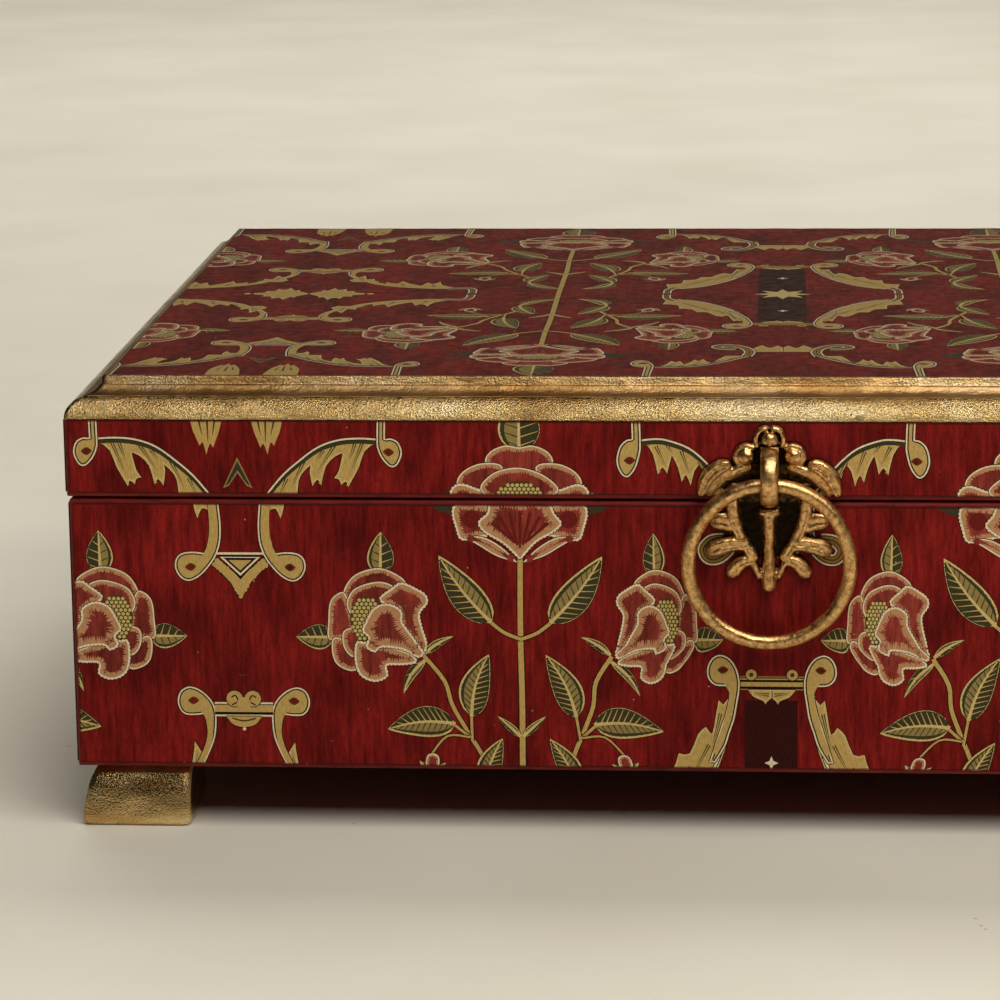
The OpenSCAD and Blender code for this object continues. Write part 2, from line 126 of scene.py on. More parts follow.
def strip(points, width, taper=1.0, steps=4):
    """The outline of a band along an open curve. taper is its width at the end."""
    line = smooth(points, steps, closed=False)
    left, right = [], []
    last = len(line) - 1
    for i, here in enumerate(line):
        before, after = line[max(i - 1, 0)], line[min(i + 1, last)]
        dx, dy = after[0] - before[0], after[1] - before[1]
        size = math.hypot(dx, dy) or 1
        half = width / 2 * (1 + (taper - 1) * i / last)
        left.append((here[0] - half * dy / size, here[1] + half * dx / size))
        right.append((here[0] + half * dy / size, here[1] - half * dx / size))
    return left + right[::-1]


def disc(x, y, radius, sides=8, squeeze=1.0):
    return [(x + radius * math.cos(2 * math.pi * k / sides),
             y + radius * squeeze * math.sin(2 * math.pi * k / sides))
            for k in range(sides)]


def flipped(shapes, mid=0.0):
    """The same shapes, mirrored left to right about x = mid."""
    return [([(2 * mid - x, y) for x, y in points][::-1], ink)
            for points, ink in shapes]


def moved(shapes, dx, dy=0.0):
    return [([(x + dx, y + dy) for x, y in points], ink)
            for points, ink in shapes]


def both(shapes):
    return shapes + flipped(shapes)


def layers(outline, *bands):
    """An outline drawn in several inks: (how far it is moved out, ink)."""
    return [(grow(outline, by) if by else outline, ink) for by, ink in bands]


def bars(x, *bands):
    """Level bars from -x to x, one over the other: (bottom, top, ink)."""
    return [([(-x, top), (x, top), (x, bottom), (-x, bottom)], ink)
            for bottom, top, ink in bands]


def strokes(lines, width, taper, ink):
    """Straight strokes of a pen, from the first point to the second."""
    return [(strip([a, b], width, taper, steps=1), ink) for a, b in lines]


# Motifs of the print. Each is a list of outline and ink, the top one last

def fringe(points, depth, pitch=0.55):
    """A ragged outline: teeth of uneven length that point outwards."""
    turn = 1 if area(points) > 0 else -1
    out = []
    for here, after in zip(points, points[1:] + points[:1]):
        dx, dy = after[0] - here[0], after[1] - here[1]
        size = math.hypot(dx, dy) or 1
        steps = max(1, round(size / (pitch / 2)))
        for k in range(steps):
            t = k / steps
            tooth = depth * random.random() * (len(out) % 2)
            out.append((here[0] + dx * t + turn * tooth * dy / size,
                        here[1] + dy * t - turn * tooth * dx / size))
    return out


def petal(points, toothed=False, rim=0.5):
    """A petal: a pale edge, a tan band, and a rose middle ragged into it."""
    soft = smooth(points)
    edge = scallop(soft, 0.26, 0.85) if toothed else soft
    pale = 0.3
    band = rim * (2.4 if toothed else 1.9)
    middle = fringe(grow(soft, -pale - band), band * 0.9)
    return [(grow(edge, 0.17), "ink"), (edge, "cream"),
            (grow(soft, -pale), "tan"), (middle, "rose")]


def leaf(base, tip, width, bend=0.1, rim=0.5, veins=9):
    """A pointed leaf with a gold rim, a gold midrib and fine veins."""
    bx, by = base
    dx, dy = tip[0] - bx, tip[1] - by
    length = math.hypot(dx, dy)

    def at(along, side):
        swell = side + bend * length * math.sin(math.pi * along)
        return (bx + dx * along - dy / length * swell,
                by + dy * along + dx / length * swell)

    def half(along):
        return width / 2 * math.sin(math.pi * along ** 0.72) ** 0.85

    steps = 12
    tip_gap, vein_run = 0.04, 0.1
    up = [at(k / steps, half(k / steps)) for k in range(steps + 1)]
    down = [at(k / steps, -half(k / steps)) for k in range(1, steps)]
    edge = up + down[::-1]
    places = [tip_gap + 0.91 * k / steps for k in range(steps + 1)]
    inner = ([at(s, max(half(s) - rim, 0.05)) for s in places]
             + [at(s, min(0.35 * rim - half(s), -0.05))
                for s in reversed(places)])
    shapes = [(grow(edge, 0.16), "ink"), (edge, "gold_light"),
              (fringe(inner, 0.2, 0.5), "leaf")]
    lit = [s for s in places if s < 0.9]
    shapes.append(([at(s, 0.05) for s in lit]
                   + [at(s, max(0.8 * half(s) - rim, 0.1))
                      for s in reversed(lit)], "leaf_light"))
    for k in range(veins):
        along = vein_run + 0.74 * k / veins
        for side, ink in ((-1, "gold"), (1, "leaf")):
            reach = side * (half(along + vein_run) - rim * 0.8)
            vein = (at(along, side * 0.1), at(along + vein_run, reach))
            shapes += strokes([vein], 0.3, 0.4, ink)
    rib = [at(k / 4, 0) for k in range(4)] + [at(0.94, 0)]
    shapes.append((strip(rib, 0.75, 0.35, steps=2), "gold_light"))
    return shapes


def knob(x, y, radius, sides):
    """A round gold knob with a dark line round it."""
    return [(disc(x, y, radius + 0.2, sides), "ink"),
            (disc(x, y, radius, sides), "gold")]


def dots(x, y, wide, high, pitch=0.98):
    """Stamens: round yellow dots packed in an oval."""
    shapes = [(disc(x, y, wide, 16, high / wide), "ochre_dark")]
    row_gap = pitch * 0.87
    rows = int(high / row_gap)
    for row in range(-rows, rows + 1):
        py = row * row_gap
        shift = pitch / 2 if row % 2 else 0
        count = int(wide / pitch) + 1
        for k in range(-count, count + 1):
            px = k * pitch + shift
            if (px / (wide - 0.3)) ** 2 + (py / (high - 0.3)) ** 2 < 1:
                shapes.append((disc(x + px, y + py, pitch * 0.42, 7),
                               "yellow"))
    return shapes


def stem(points, width, taper=1.0):
    return [(strip(points, width + 0.45, taper), "ink"),
            (strip(points, width, taper), "gold")]


def ribbon(points, eye, bare_edge=None):
    """A scroll's arm that ends in a round paddle. points go round it, and it
    has no pale line along bare_edge. eye is the middle of the paddle."""
    edge = smooth(points)
    x, y = eye
    shapes = layers(edge, (0.2, "ink"), (0, "cream"), (-0.34, "ink"),
                    (-0.62, "gold"))
    if bare_edge:
        shapes.append((strip(bare_edge, 1.2), "gold"))
    drop = [(x - 1.15, y + 0.1, 1), (x - 0.2, y + 0.6), (x + 0.75, y, 1),
            (x - 0.2, y - 0.55)]
    shapes += [(grow(smooth(drop), 0.3), "ochre_dark"), (smooth(drop), "ground")]
    return shapes


def scroll(points, width):
    """A curled band: pale edges, dark lines and an ochre middle."""
    bands = ((width + 1.25, "ink"), (width + 0.85, "cream"),
             (width + 0.1, "ink"), (width - 0.35, "ochre"),
             (0.3, "ochre_dark"))
    return [(strip(points, wide), ink) for wide, ink in bands]


def frond(points, *lines):
    """A jagged leaf of gold, with dark strokes drawn along the lines."""
    edge = smooth(points, 2)
    shapes = layers(edge, (0.2, "ink"), (0, "gold_light"))
    shapes.append((fringe(grow(edge, -0.55), 0.4), "gold"))
    for line in lines:
        shapes += strokes([line], 0.8, 0.25, "leaf")
        shapes += strokes([line], 0.25, 0.6, "gold")
    return shapes


def pale_rib(rib):
    """The pale line along the top of a frond, with shade below it."""
    return [(strip([(x, y - 0.75) for x, y in rib], 0.8), "leaf"),
            (strip(rib, 0.75), "ink"), (strip(rib, 0.4), "cream")]


def small_rose():
    """A rose seen from the side. Its stem leaves at (0, 0), to the right."""
    shapes = leaf((-9, 17.5), (-8.8, 27), 5.8, 0, 0.4, 4)
    shapes += leaf((-19.4, 3.6), (-27.5, 3.6), 5.6, 0, 0.35, 4)
    shapes += petal([(-16.8, 12), (-16.8, 14.5), (-14.5, 17.5), (-10, 19),
                     (-6.5, 18.2), (-3.5, 15.8), (-4.5, 12), (-12.5, 10)])
    shapes += petal([(-20.3, 3), (-20.5, 7), (-20, 11.5), (-18, 13.5),
                     (-16.5, 13), (-15, 8), (-15.5, 4)])
    shapes += petal([(-16.3, 10), (-15.5, 13.5), (-13, 15.2), (-9, 16),
                     (-6, 14.7), (-6.5, 12), (-12.5, 6)])
    shapes += petal([(-19.7, 3), (-18, 3.4), (-15, 1), (-13.5, -2.5),
                     (-15.5, -4), (-18.5, -2.8), (-19.7, -0.5)])
    shapes += petal([(-17.3, 4.8), (-15, 5.7), (-12.5, 4), (-13, 0),
                     (-15.5, -0.8), (-17.3, 1.5)])
    shapes += dots(-12.2, 7.6, 3.6, 5.2)
    shapes += petal([
        (-14.5, 2.2), (-12.8, 2.4), (-9, 2), (-3, 0), (-1.6, -1.8), (-4.5, -2.4),
        (-8, -2.6), (-7.9, -5), (-10.5, -6.2), (-13.5, -5), (-14.7, -2)], True)
    shapes += petal([
        (-9.2, 12), (-6.5, 14.5), (-4.5, 15.7), (-1.5, 14.5), (0.7, 13), (0.9, 11.2),
        (-0.7, 9), (-0.3, 6), (0.7, 2.5), (0.4, 0.2, 1), (-2, 2.5), (-5, 6), (-5.5, 9.5)],
        True)
    shapes += petal([
        (-12.3, 7), (-10.5, 10), (-7.5, 11), (-4.7, 9.5), (-4.5, 7), (-2.5, 4),
        (0.2, 0.1, 1), (-1.2, -0.7), (-4.5, 1), (-9, 1.5), (-10.5, 0.4), (-12.3, 1.5),
        (-11.7, 3.5), (-13, 5)], True, 0.75)
    return shapes


def squeezed(shapes):
    """A rose with less room: narrower, and further from its stem."""
    return [([(0.8 * x - 2 * min(1, max(0, y + 2) / 4), y) for x, y in points],
             ink) for points, ink in shapes]


def steeper(shapes):
    """A branch with less room, which leans in less below its rose."""
    return [([(x + 0.19 * min(0, y), y) for x, y in points], ink)
            for points, ink in shapes]


def branch(crowded=False):
    """A small rose on its branch, with leaves and a bud."""
    shapes = stem([(0, -0.3), (4.5, -6), (6.2, -11.5), (9.5, -17.5),
                   (13, -24), (13, -31)], 0.85)
    shapes += stem([(10.4, -19.5), (10.3, -13.5)], 0.6)
    shapes += stem([(10, -18.6), (6.2, -15.6)], 0.6)
    shapes += stem([(9.8, -18.6), (5, -18.4), (1.5, -22.5)], 0.45)
    shapes += leaf((10.3, -14), (14.2, 0), 6.6, 0.07)
    shapes += leaf((6.8, -15.6), (-8, -17), 7, -0.07)
    shapes += leaf((12.9, -30), (17, -18.8), 5.4, 0.05)
    shapes += leaf((13, -31), (22, -40), 4, -0.15)
    shapes += leaf((0.2, 0), (6.6, 4), 1.9, 0.05, 0.25, 2)
    shapes += leaf((0.4, -1.4), (-4.4, -9), 2.2, -0.1, 0.25, 2)
    shapes += leaf((1.8, -27.4), (-1.2, -24), 1.7, 0, 0.25, 2)
    shapes += leaf((1.8, -27.4), (4.6, -24.4), 1.7, 0, 0.25, 2)
    shapes += petal([(0.2, -25), (0.6, -22.8), (2, -22.4), (3.1, -23.2),
                     (3, -25.4), (1.8, -27)], False, 0.25)
    if crowded:
        return steeper(shapes) + squeezed(small_rose())
    return shapes + small_rose()


def big_rose():
    """A rose seen from the front, open towards the top."""
    shapes = leaf((0, 11), (0, 24), 9, 0, 0.5, 5)
    wing = [(smooth([(13, -3.2, 1), (17, -2.6), (21, -0.2, 1), (17, 1.9),
                     (13, 2.3, 1)]), "leaf_grey")]
    shapes += both(wing)
    shapes += petal([(-7.2, 8.4), (-6.2, 11), (-3, 12.4), (0, 12),
                     (3, 12.4), (6.2, 11), (7.2, 8.4), (4, 5), (-4, 5)])
    side = petal([(3.5, 7.7), (8, 8.5), (12, 6.7), (13.4, 3.9), (11, 1.5),
                  (6, 2)])
    side += petal([(6, 1.7), (9, 2.8), (12.5, 3.9), (14.6, 2.6),
                   (14.3, -0.5), (10, -1), (6, -0.5)], True)
    side += petal([(5, -2.4), (9.5, -1), (13.6, -1.2), (14.4, -3),
                   (13.7, -6), (12.6, -8.7), (9.5, -8.3), (5, -7)], True)
    side += [(disc(10.4, -4.3, 2, 10), "rose_deep")]
    side += petal([(0.5, -13.8, 1), (4, -10.4), (8, -8.2), (12.2, -8.1, 1),
                   (9, -10), (5, -12.4)], False, 0.4)
    shapes += both(side)
    shapes += petal([(-8.4, 3), (-5.8, 6.2), (-1.8, 7.5), (1.8, 7.3),
                     (5.8, 5.6), (8.4, 2.6), (4, 0.5), (-5, 0.5)])
    shapes += dots(0, 1.2, 4.9, 3.6)
    shapes += petal([
        (0, -13, 1), (-3.5, -9.6), (-7.4, -7.2), (-8.8, -5), (-6.9, -3), (-6.2, -0.6),
        (-3, 0.4), (0, -0.2), (3, 0.4), (6.2, -0.6), (7.3, -3), (8.8, -5.2), (6.8, -7.2),
        (3.4, -9.2)], True, 0.8)
    for k in range(-3, 4):
        lean = k * 0.27
        shapes.append((strip([(2.2 * math.sin(lean), -10.5 + abs(k) * 0.5),
                              (8.4 * math.sin(lean),
                               -10.5 + 8 * math.cos(lean))],
                             0.5, 1.6, steps=1), "rose_deep"))
    return shapes


def stem_column():
    """A rose tree: one straight stem, with a branch on each side."""
    side = stem([(0, -30.8), (3.5, -29.4), (6.6, -27)], 0.75)
    side += leaf((6.3, -27.2), (17.6, -12.3), 7.2, -0.04)
    side += leaf((0.2, -52.6), (5.2, -48), 1.7, 0, 0.25, 0)
    shapes = stem([(0, -13), (-0.1, -30), (0.15, -47), (0, FOLD - 0.3)], 1.15,
                  1.1)
    shapes += both(side)
    shapes += moved(branch(), -21.2, -34.2)
    shapes += moved(flipped(branch(crowded=True)), 19.5, -34.2)
    return shapes + big_rose()


def hanging_fronds():
    """One side of the fronds on the lid's band, right of the outer scroll."""
    shapes = frond([
        (30, 13, 1), (27.5, 11), (26.2, 7.5), (23.8, 3.1, 1), (23.4, 4.4), (22.3, 3.6, 1),
        (21.9, 4.8), (20.8, 5.1, 1), (21.9, 6.8), (22.8, 10.6, 1), (21.2, 9.9), (19.1, 7.7),
        (18, 3.5, 1), (17.2, 4.8), (16.1, 3.3, 1), (15.6, 6.4), (15.9, 8, 1), (14.4, 6.6),
        (13.2, 4.6), (12.7, 0, 1), (5.4, 0, 1), (9.4, 4.8), (13.3, 8.3), (17.6, 11.4),
        (21.9, 12.9), (26.2, 13.3)], ((27, 12.8), (24.4, 6.4)), ((25.4, 12.6), (24.2, 9)),
        ((21, 12.2), (17.3, 6.6)), ((18.6, 11.2), (17.2, 9)), ((14.4, 8.8), (11.6, 3)),
        ((10.6, 5), (9, 1.4)))
    rib = [(30, 13.6), (26.2, 13.8), (21.9, 13.4), (17.6, 11.9), (13.3, 8.8),
           (9.4, 5.3), (5.4, 0.4)]
    shapes += pale_rib(rib)
    shapes += ribbon([
        (30.4, 24, 1), (30.1, 13.6), (30.3, 11.4), (31.3, 9.2), (33, 7.6), (34.5, 8.1),
        (35.5, 10.6), (34.8, 12.9), (33.3, 13.8), (31.9, 13.7, 1), (32, 17), (32.2, 24, 1)],
        (32.8, 10.8))
    return shapes


def outer_scroll():
    """The scroll group near the ends of the front."""
    half = frond([(6.2, 1, 1), (9.2, 1, 1), (9.8, -1.6), (9, -4.4, 1),
                  (8, -2.2), (6.6, -2.6, 1)])
    half += ribbon([
        (4.7, 1.5, 1), (4.2, -3), (4, -6.5), (4.3, -10), (5.5, -13.2), (7.7, -16.1),
        (9.6, -17.7), (11.5, -18.3), (13.2, -17.4), (14.2, -15.4), (13.9, -13.3),
        (12.5, -12.1), (10.1, -11.8), (7.6, -12.1, 1), (6.9, -9.6), (6.4, -6),
        (6.9, 1.5, 1)], (11, -15.2), [(6.4, 1), (5.9, -5), (6.2, -9.4), (7.4, -12.6),
        (9, -13.8)])
    half += frond([
        (7.6, -61.6, 1), (9.2, -57.4), (11, -54.4, 1), (11.2, -56.2), (11.8, -60, 1),
        (13.6, -59, 1), (14.4, -64, 1), (9, -64, 1)], ((10.6, -61), (10.6, -57)))
    half += frond([
        (36, -73.6, 1), (31.5, -69), (30.5, -63.6, 1), (28.8, -66.8), (27.4, -64.6, 1),
        (26.2, -69.6, 1), (22.8, -66), (21, -62.6, 1), (19.8, -66.4), (17.2, -64, 1),
        (17, -67), (14.6, -63, 1), (12.5, -60, 1), (10.6, -61, 1), (14, -66.8), (21, -71.6),
        (30, -74)], ((29.6, -71.4), (28.6, -66.6)), ((22, -70), (20.6, -65)), ((16, -66),
        (14.4, -62)))
    half += ribbon([
        (9.9, -61, 1), (7.9, -57), (6.5, -53.3), (6.1, -49.7), (6.2, -47.2), (7.1, -45),
        (8.8, -43.2), (10.5, -42.2), (12.2, -42), (13.8, -43), (14.5, -45), (14.1, -47),
        (12.9, -48.2), (11, -48.4), (8.6, -48.1, 1), (8.1, -51.9), (8.7, -55.1),
        (10.9, -60, 1)], (11.2, -45.1), [(10, -59.4), (8.1, -55.2), (7.5, -51.6),
        (8.1, -48.4), (9.6, -46.4)])
    half += scroll([(33, -73.8), (38, -73.4), (39.4, -76), (39.5, -80.5)],
                   1.3)
    half += [(smooth([
        (2.5, 24, 1), (10.1, 24, 1), (9.8, 17), (8.8, 14), (8, 12.1, 1), (7.3, 12.9),
        (6.6, 10.2, 1), (5.8, 12.6), (5.1, 11.7, 1), (4.4, 13.6), (3.3, 17)], 2), "gold"),
        (strip([(6.3, 19), (6.2, 13)], 0.6, 0.2, 1), "ochre_dark")]
    half += strokes((((4.6, 18), (5.2, 14.4)), ((8.2, 18), (7.4, 14.4))),
                    0.5, 0.2, "ochre_dark")
    half += hanging_fronds()
    mid = [([
        (-3.2, 2.8), (0, 9.6), (3.2, 2.8), (1.9, 3.4), (0, 6.2), (-1.9, 3.4)],
        "leaf_light"), ([(-2.7, 3.3), (0, 8.8), (2.7, 3.3), (1.9, 3.8), (0, 6.8),
        (-1.9, 3.8)], "leaf_grey")]
    vee = [
        (-5, -13.2), (-6.1, -14.8), (-4.7, -15.8), (-2.3, -18.4), (0, -22.2), (2.3, -18.4),
        (4.7, -15.8), (6.1, -14.8), (5, -13.2), (0, -17.6)]
    mid += [([
        (-5, -11.9), (5, -11.9), (5, -12.4), (-5, -12.4)], "cream"),
        (grow(fringe(vee, 0.3, 0.9), 0.2), "ink"), (fringe(vee, 0.3, 0.9), "gold"),
        ([(-4.9, -12.5), (4.9, -12.5), (0, -17.9)], "ink"), ([(-4.4, -12.9), (4.4, -12.9),
        (0, -17.1)], "cream"), ([(-3.6, -13.1), (3.6, -13.1), (0, -16.5)], "ink"),
        ([(-2.5, -13.6), (2.5, -13.6), (0, -15.9)], "gold")]
    mid += [(strip([(-1, -39.1), (0, -39.4), (1, -39.1)], 0.3), "rose")]
    mid += bars(6.4, (-48.6, -45.4, "cream"), (-48.2, -45.8, "ink"),
                (-47.6, -46, "gold"))
    for side in (-1, 1):
        mid += knob(side * 2, -44.6, 1.8, 14)
        mid += [(strip([
            (side * 2.6, -46), (side * 1.3, -45.2), (side * 1.8, -43.9),
            (side * 2.7, -44.3)], 0.3), "ink")]
    mid += [(disc(0, -45.8, 1.6, 10), "gold")]
    bowl = smooth([(-3.9, -48.6, 1), (3.9, -48.6, 1), (2.4, -50.4),
                   (0, -51), (-2.4, -50.4)])
    mid += layers(bowl, (0.2, "ink"), (0, "gold"))
    mid += [(strip([(-2.6, -49), (0, -49.6), (2.6, -49)], 0.35),
             "ochre_dark"), (disc(0, -51.4, 0.4), "cream")]
    return both(half) + mid


def middle_scroll():
    """The scroll group in the middle of the front, partly behind the pull."""
    half = frond([
        (27, 13, 1), (25.4, 10.6), (24.4, 6.2, 1), (23.4, 7.8), (22.4, 6.4, 1), (21.8, 9),
        (21.4, 10.4, 1), (20.2, 8), (19.3, 4.6, 1), (18.4, 6.2), (17.4, 3.8, 1), (16.6, 7),
        (15.4, 8.6, 1), (14, 4), (12.6, 0, 1), (7.4, 0, 1), (10.4, 4.2), (13.8, 8.2),
        (17.6, 11.3), (22, 13)], ((24.8, 12.4), (23, 8.6)), ((22.4, 12.6), (21.4, 11)),
        ((19.4, 11.4), (17.8, 6.6)), ((15.6, 9), (12.8, 3.4)), ((12, 5.6), (10.4, 1.4)))
    rib = [(28, 13.6), (25, 13.9), (22.3, 13.6), (17.8, 11.9), (14, 8.7),
           (10.6, 4.6), (7.2, 0)]
    half += pale_rib(rib)
    half += ribbon([
        (28.4, 24, 1), (28, 13.6), (28.2, 10.6), (29.2, 7.4), (30.8, 5.6), (32.3, 6.4),
        (33.2, 9), (32.6, 12), (31.2, 13.6), (29.9, 13.9, 1), (30, 17), (30.2, 24, 1)],
        (30.6, 9.2))
    half += scroll([
        (8, 0.6), (7.3, -4.6), (8.4, -9.4), (11, -12.4), (13.6, -12.7), (14.7, -10.6),
        (13, -8.6), (10.4, -8.3)], 1.7)
    half += frond([
        (8.6, -42.6, 1), (10.4, -45, 1), (11.4, -44, 1), (12.1, -48), (12.8, -51.6),
        (14.1, -50, 1), (15.8, -51.6), (17.6, -56), (20, -56, 1), (21.4, -60),
        (24.4, -61, 1), (24.8, -66), (28.4, -67, 1), (27.6, -74, 1), (22, -73),
        (16.4, -67.6), (11.4, -59), (8.8, -50)], ((11, -47), (12.8, -55)), ((13.4, -54),
        (17, -61)), ((17.4, -59), (21.6, -66)), ((20, -63), (25, -71)))
    edge = [(8.4, -43), (9.6, -51), (12.4, -59.4), (17, -67.4), (25, -74)]
    half += [(strip(edge, 0.9), "ink"), (strip(edge, 0.5), "cream")]
    half += ribbon([
        (12.1, -58, 1), (10, -54.4), (9, -51.3), (8, -48.2), (7.4, -44.8), (6.9, -41.3),
        (7.1, -38.5), (8, -36.1), (9.4, -34.5), (11.3, -33.9), (13, -34.9), (13.9, -37.1),
        (13.6, -39.3), (12.1, -40.7), (9.4, -40.9, 1), (9.1, -43), (9.9, -47), (11.2, -51),
        (13.4, -58, 1)], (10.7, -37.3), [(12.2, -56), (10.2, -50.6), (8.9, -45.6),
        (8.5, -42.4), (9.8, -39.8)])
    half += scroll([(26, -72), (27.6, -75.5), (27.8, -80.5)], 1.2)
    half += knob(4.4, -38.3, 1.2, 12) + [(disc(4.4, -38.3, 0.5), "ochre_dark")]
    crown = frond([(0, -5, 1), (6.2, -5, 1), (7, -8), (4.6, -13, 1),
                   (3, -9.6), (1.2, -12.6, 1), (0, -10, 1)])
    low = frond([
        (0, -41.6, 1), (5.1, -41.6, 1), (3.9, -43.2), (1.8, -44.1), (1.4, -44.9, 1),
        (0.9, -44.2), (0, -43.4, 1)], ((0.6, -42.8), (3.6, -42.4)))
    block = [([(-5.8, -44), (5.6, -44), (5.6, -83), (-5.8, -83)],
              "ground_block")]
    bar = bars(7.4, (-41.7, -38.6, "ochre"), (-41.4, -38.9, "ink"),
               (-40.9, -39.9, "gold"), (-39.4, -39.1, "gold"))
    return (block + both(crown) + bar + both(half) + both(low)
            + star(0, -58, 1.5, 4, 0.42))


def fold_ornaments():
    """What lies across the fold: a spiky bow on each side, and a star."""
    spikes = [
        (0.4, 0.8), (2.6, 3.4), (2.9, 6, 1), (4, 4.6), (5.4, 8.6, 1), (6.6, 5.6),
        (8.4, 7.2, 1), (8.8, 4), (11, 4, 1), (10.8, 2), (13.2, 1, 1), (13.6, 0.4)]
    bow = smooth(spikes + [(p[0], -p[1]) + p[2:] for p in reversed(spikes)], 2)
    half = layers(bow, (0.2, "ink"), (0, "gold_light"), (-0.6, "gold"))
    half.append((disc(15, 0, 0.9), "gold_light"))
    bows = moved(both(half), SCROLLS, FOLD)
    return both(bows) + star(0, FOLD, 7, 8, 0.5, "gold_light")


def star(x, y, radius, tips, waist, ink="cream"):
    """A star whose inner corners are at a share of the radius, the waist."""
    points = []
    for k in range(2 * tips):
        reach = radius * (waist if k % 2 else 1)
        turn = math.pi * k / tips + math.pi / 2
        points.append((x + reach * math.cos(turn), y + reach * math.sin(turn)))
    return [(points, ink)]


SCROLLS = 114.5     # how far the outer scrolls are from the middle one
STEMS = 53.95       # the stems between them
END_STEMS = 175.2   # the stems at the corners of the box
FRONT_SHIFT = 0.7   # the print's middle on the sides, right of the box's
TOP_SHIFT = 2.8     # and on the top
LID_DROP = -0.45    # how far the lid's print lies off the base's
TOP_START = 24.0    # the height that lies at the front edge of the top
FOLD = TOP_START - 105.5  # the print mirrors itself about this height


def print_layout():
    """The print across the front: scrolls in the middle and at the ends."""
    shapes = middle_scroll() + both(moved(outer_scroll(), SCROLLS))
    shapes += both(moved(flipped(stem_column()), STEMS))
    return shapes + both(moved(stem_column(), END_STEMS))


LAYOUT = print_layout()


def over_top(shapes):
    """The layout laid on the lid's top: x across, y back from its front."""
    def laid(part):
        return [([(x, TOP_START - y) for x, y in points][::-1], ink)
                for points, ink in part]

    near = laid(shapes)
    fold = TOP_START - FOLD
    far = [([(x, 2 * fold - y) for x, y in points][::-1], ink)
           for points, ink in near]
    return near + far + laid(moved(fold_ornaments(), TOP_SHIFT))


# Sheets: each printed sheet is a triangulated face, with thickness behind it

def paint(red, green, blue):
    """A colour named as a screen shows it, from 0 to 255, as linear light."""
    return tuple(((c / 255 + 0.055) / 1.055) ** 2.4 if c > 10
                 else c / 255 / 12.92 for c in (red, green, blue)) + (1.0,)


INKS = {
    "ground": paint(130, 28, 24), "ground_dark": paint(88, 15, 16),
    "ground_block": paint(56, 20, 16), "ink": paint(34, 16, 10),
    "cream": paint(236, 216, 176), "tan": paint(192, 140, 98),
    "rose": paint(152, 60, 48), "rose_deep": paint(112, 32, 27),
    "gold": paint(198, 163, 94), "gold_light": paint(216, 186, 118),
    "ochre": paint(158, 120, 58),
    "ochre_dark": paint(84, 62, 30), "yellow": paint(206, 184, 112),
    "leaf": paint(64, 60, 38), "leaf_light": paint(152, 130, 76),
    "leaf_grey": paint(62, 58, 46),
}
INK_NAMES = list(INKS)


def inside(points, outline):
    """Which of the points, an array, lie inside a closed outline."""
    ring = np.array(outline)
    ax, ay = ring[:, 0], ring[:, 1]
    bx, by = np.roll(ax, -1), np.roll(ay, -1)
    px, py = points[:, :1], points[:, 1:]
    spans = (ay > py) != (by > py)
    rise = np.where(by == ay, 1, by - ay)
    left = px < (bx - ax) * (py - ay) / rise + ax
    return np.count_nonzero(spans & left, axis=1) % 2 == 1


def cut_sheet(shapes, outline):
    """Triangles of a sheet with the shapes on it, and the ink of each."""
    low = np.min(outline, axis=0)
    high = np.max(outline, axis=0)
    kept = []
    for points, ink in shapes:
        ring = np.array(points)
        if (ring.max(0) > low).all() and (ring.min(0) < high).all():
            kept.append((ring, INK_NAMES.index(ink)))
    rings = [np.array(outline)] + [ring for ring, ink in kept]
    coords, edges = [], []
    for ring in rings:
        first = len(coords)
        count = len(ring)
        coords.extend(Vector(point) for point in ring)
        edges.extend((first + k, first + (k + 1) % count)
                     for k in range(count))
    nearest_mm = 1e-5
    coords, _, faces = delaunay_2d_cdt(coords, edges, [], 0, nearest_mm,
                                       False)[:3]
    flat = np.array([point[:] for point in coords])
    faces = np.array(faces)
    middle = flat[faces].mean(axis=1)
    order = np.argsort(middle[:, 0])
    middle, faces = middle[order], faces[order]
    used = inside(middle, outline)
    inks = np.full(len(faces), INK_NAMES.index("ground"))
    for ring, ink in kept:
        start, stop = np.searchsorted(middle[:, 0],
                                      [ring[:, 0].min(), ring[:, 0].max()])
        near = middle[start:stop]
        level = ((near[:, 1] > ring[:, 1].min())
                 & (near[:, 1] < ring[:, 1].max()))
        rows = np.flatnonzero(level)
        if len(rows):
            rows = rows[inside(near[rows], ring)]
            inks[start + rows] = ink
    corners, faces = np.unique(faces[used], return_inverse=True)
    return flat[corners], faces.reshape(-1, 3), inks[used]


def open_edges(faces):
    """The edges that only one triangle has, as pairs in its direction."""
    pairs = np.concatenate([faces[:, [0, 1]], faces[:, [1, 2]],
                            faces[:, [2, 0]]])
    seen = {}
    for a, b in pairs.tolist():
        if (b, a) in seen:
            del seen[(b, a)]
        else:
            seen[(a, b)] = True
    return list(seen)


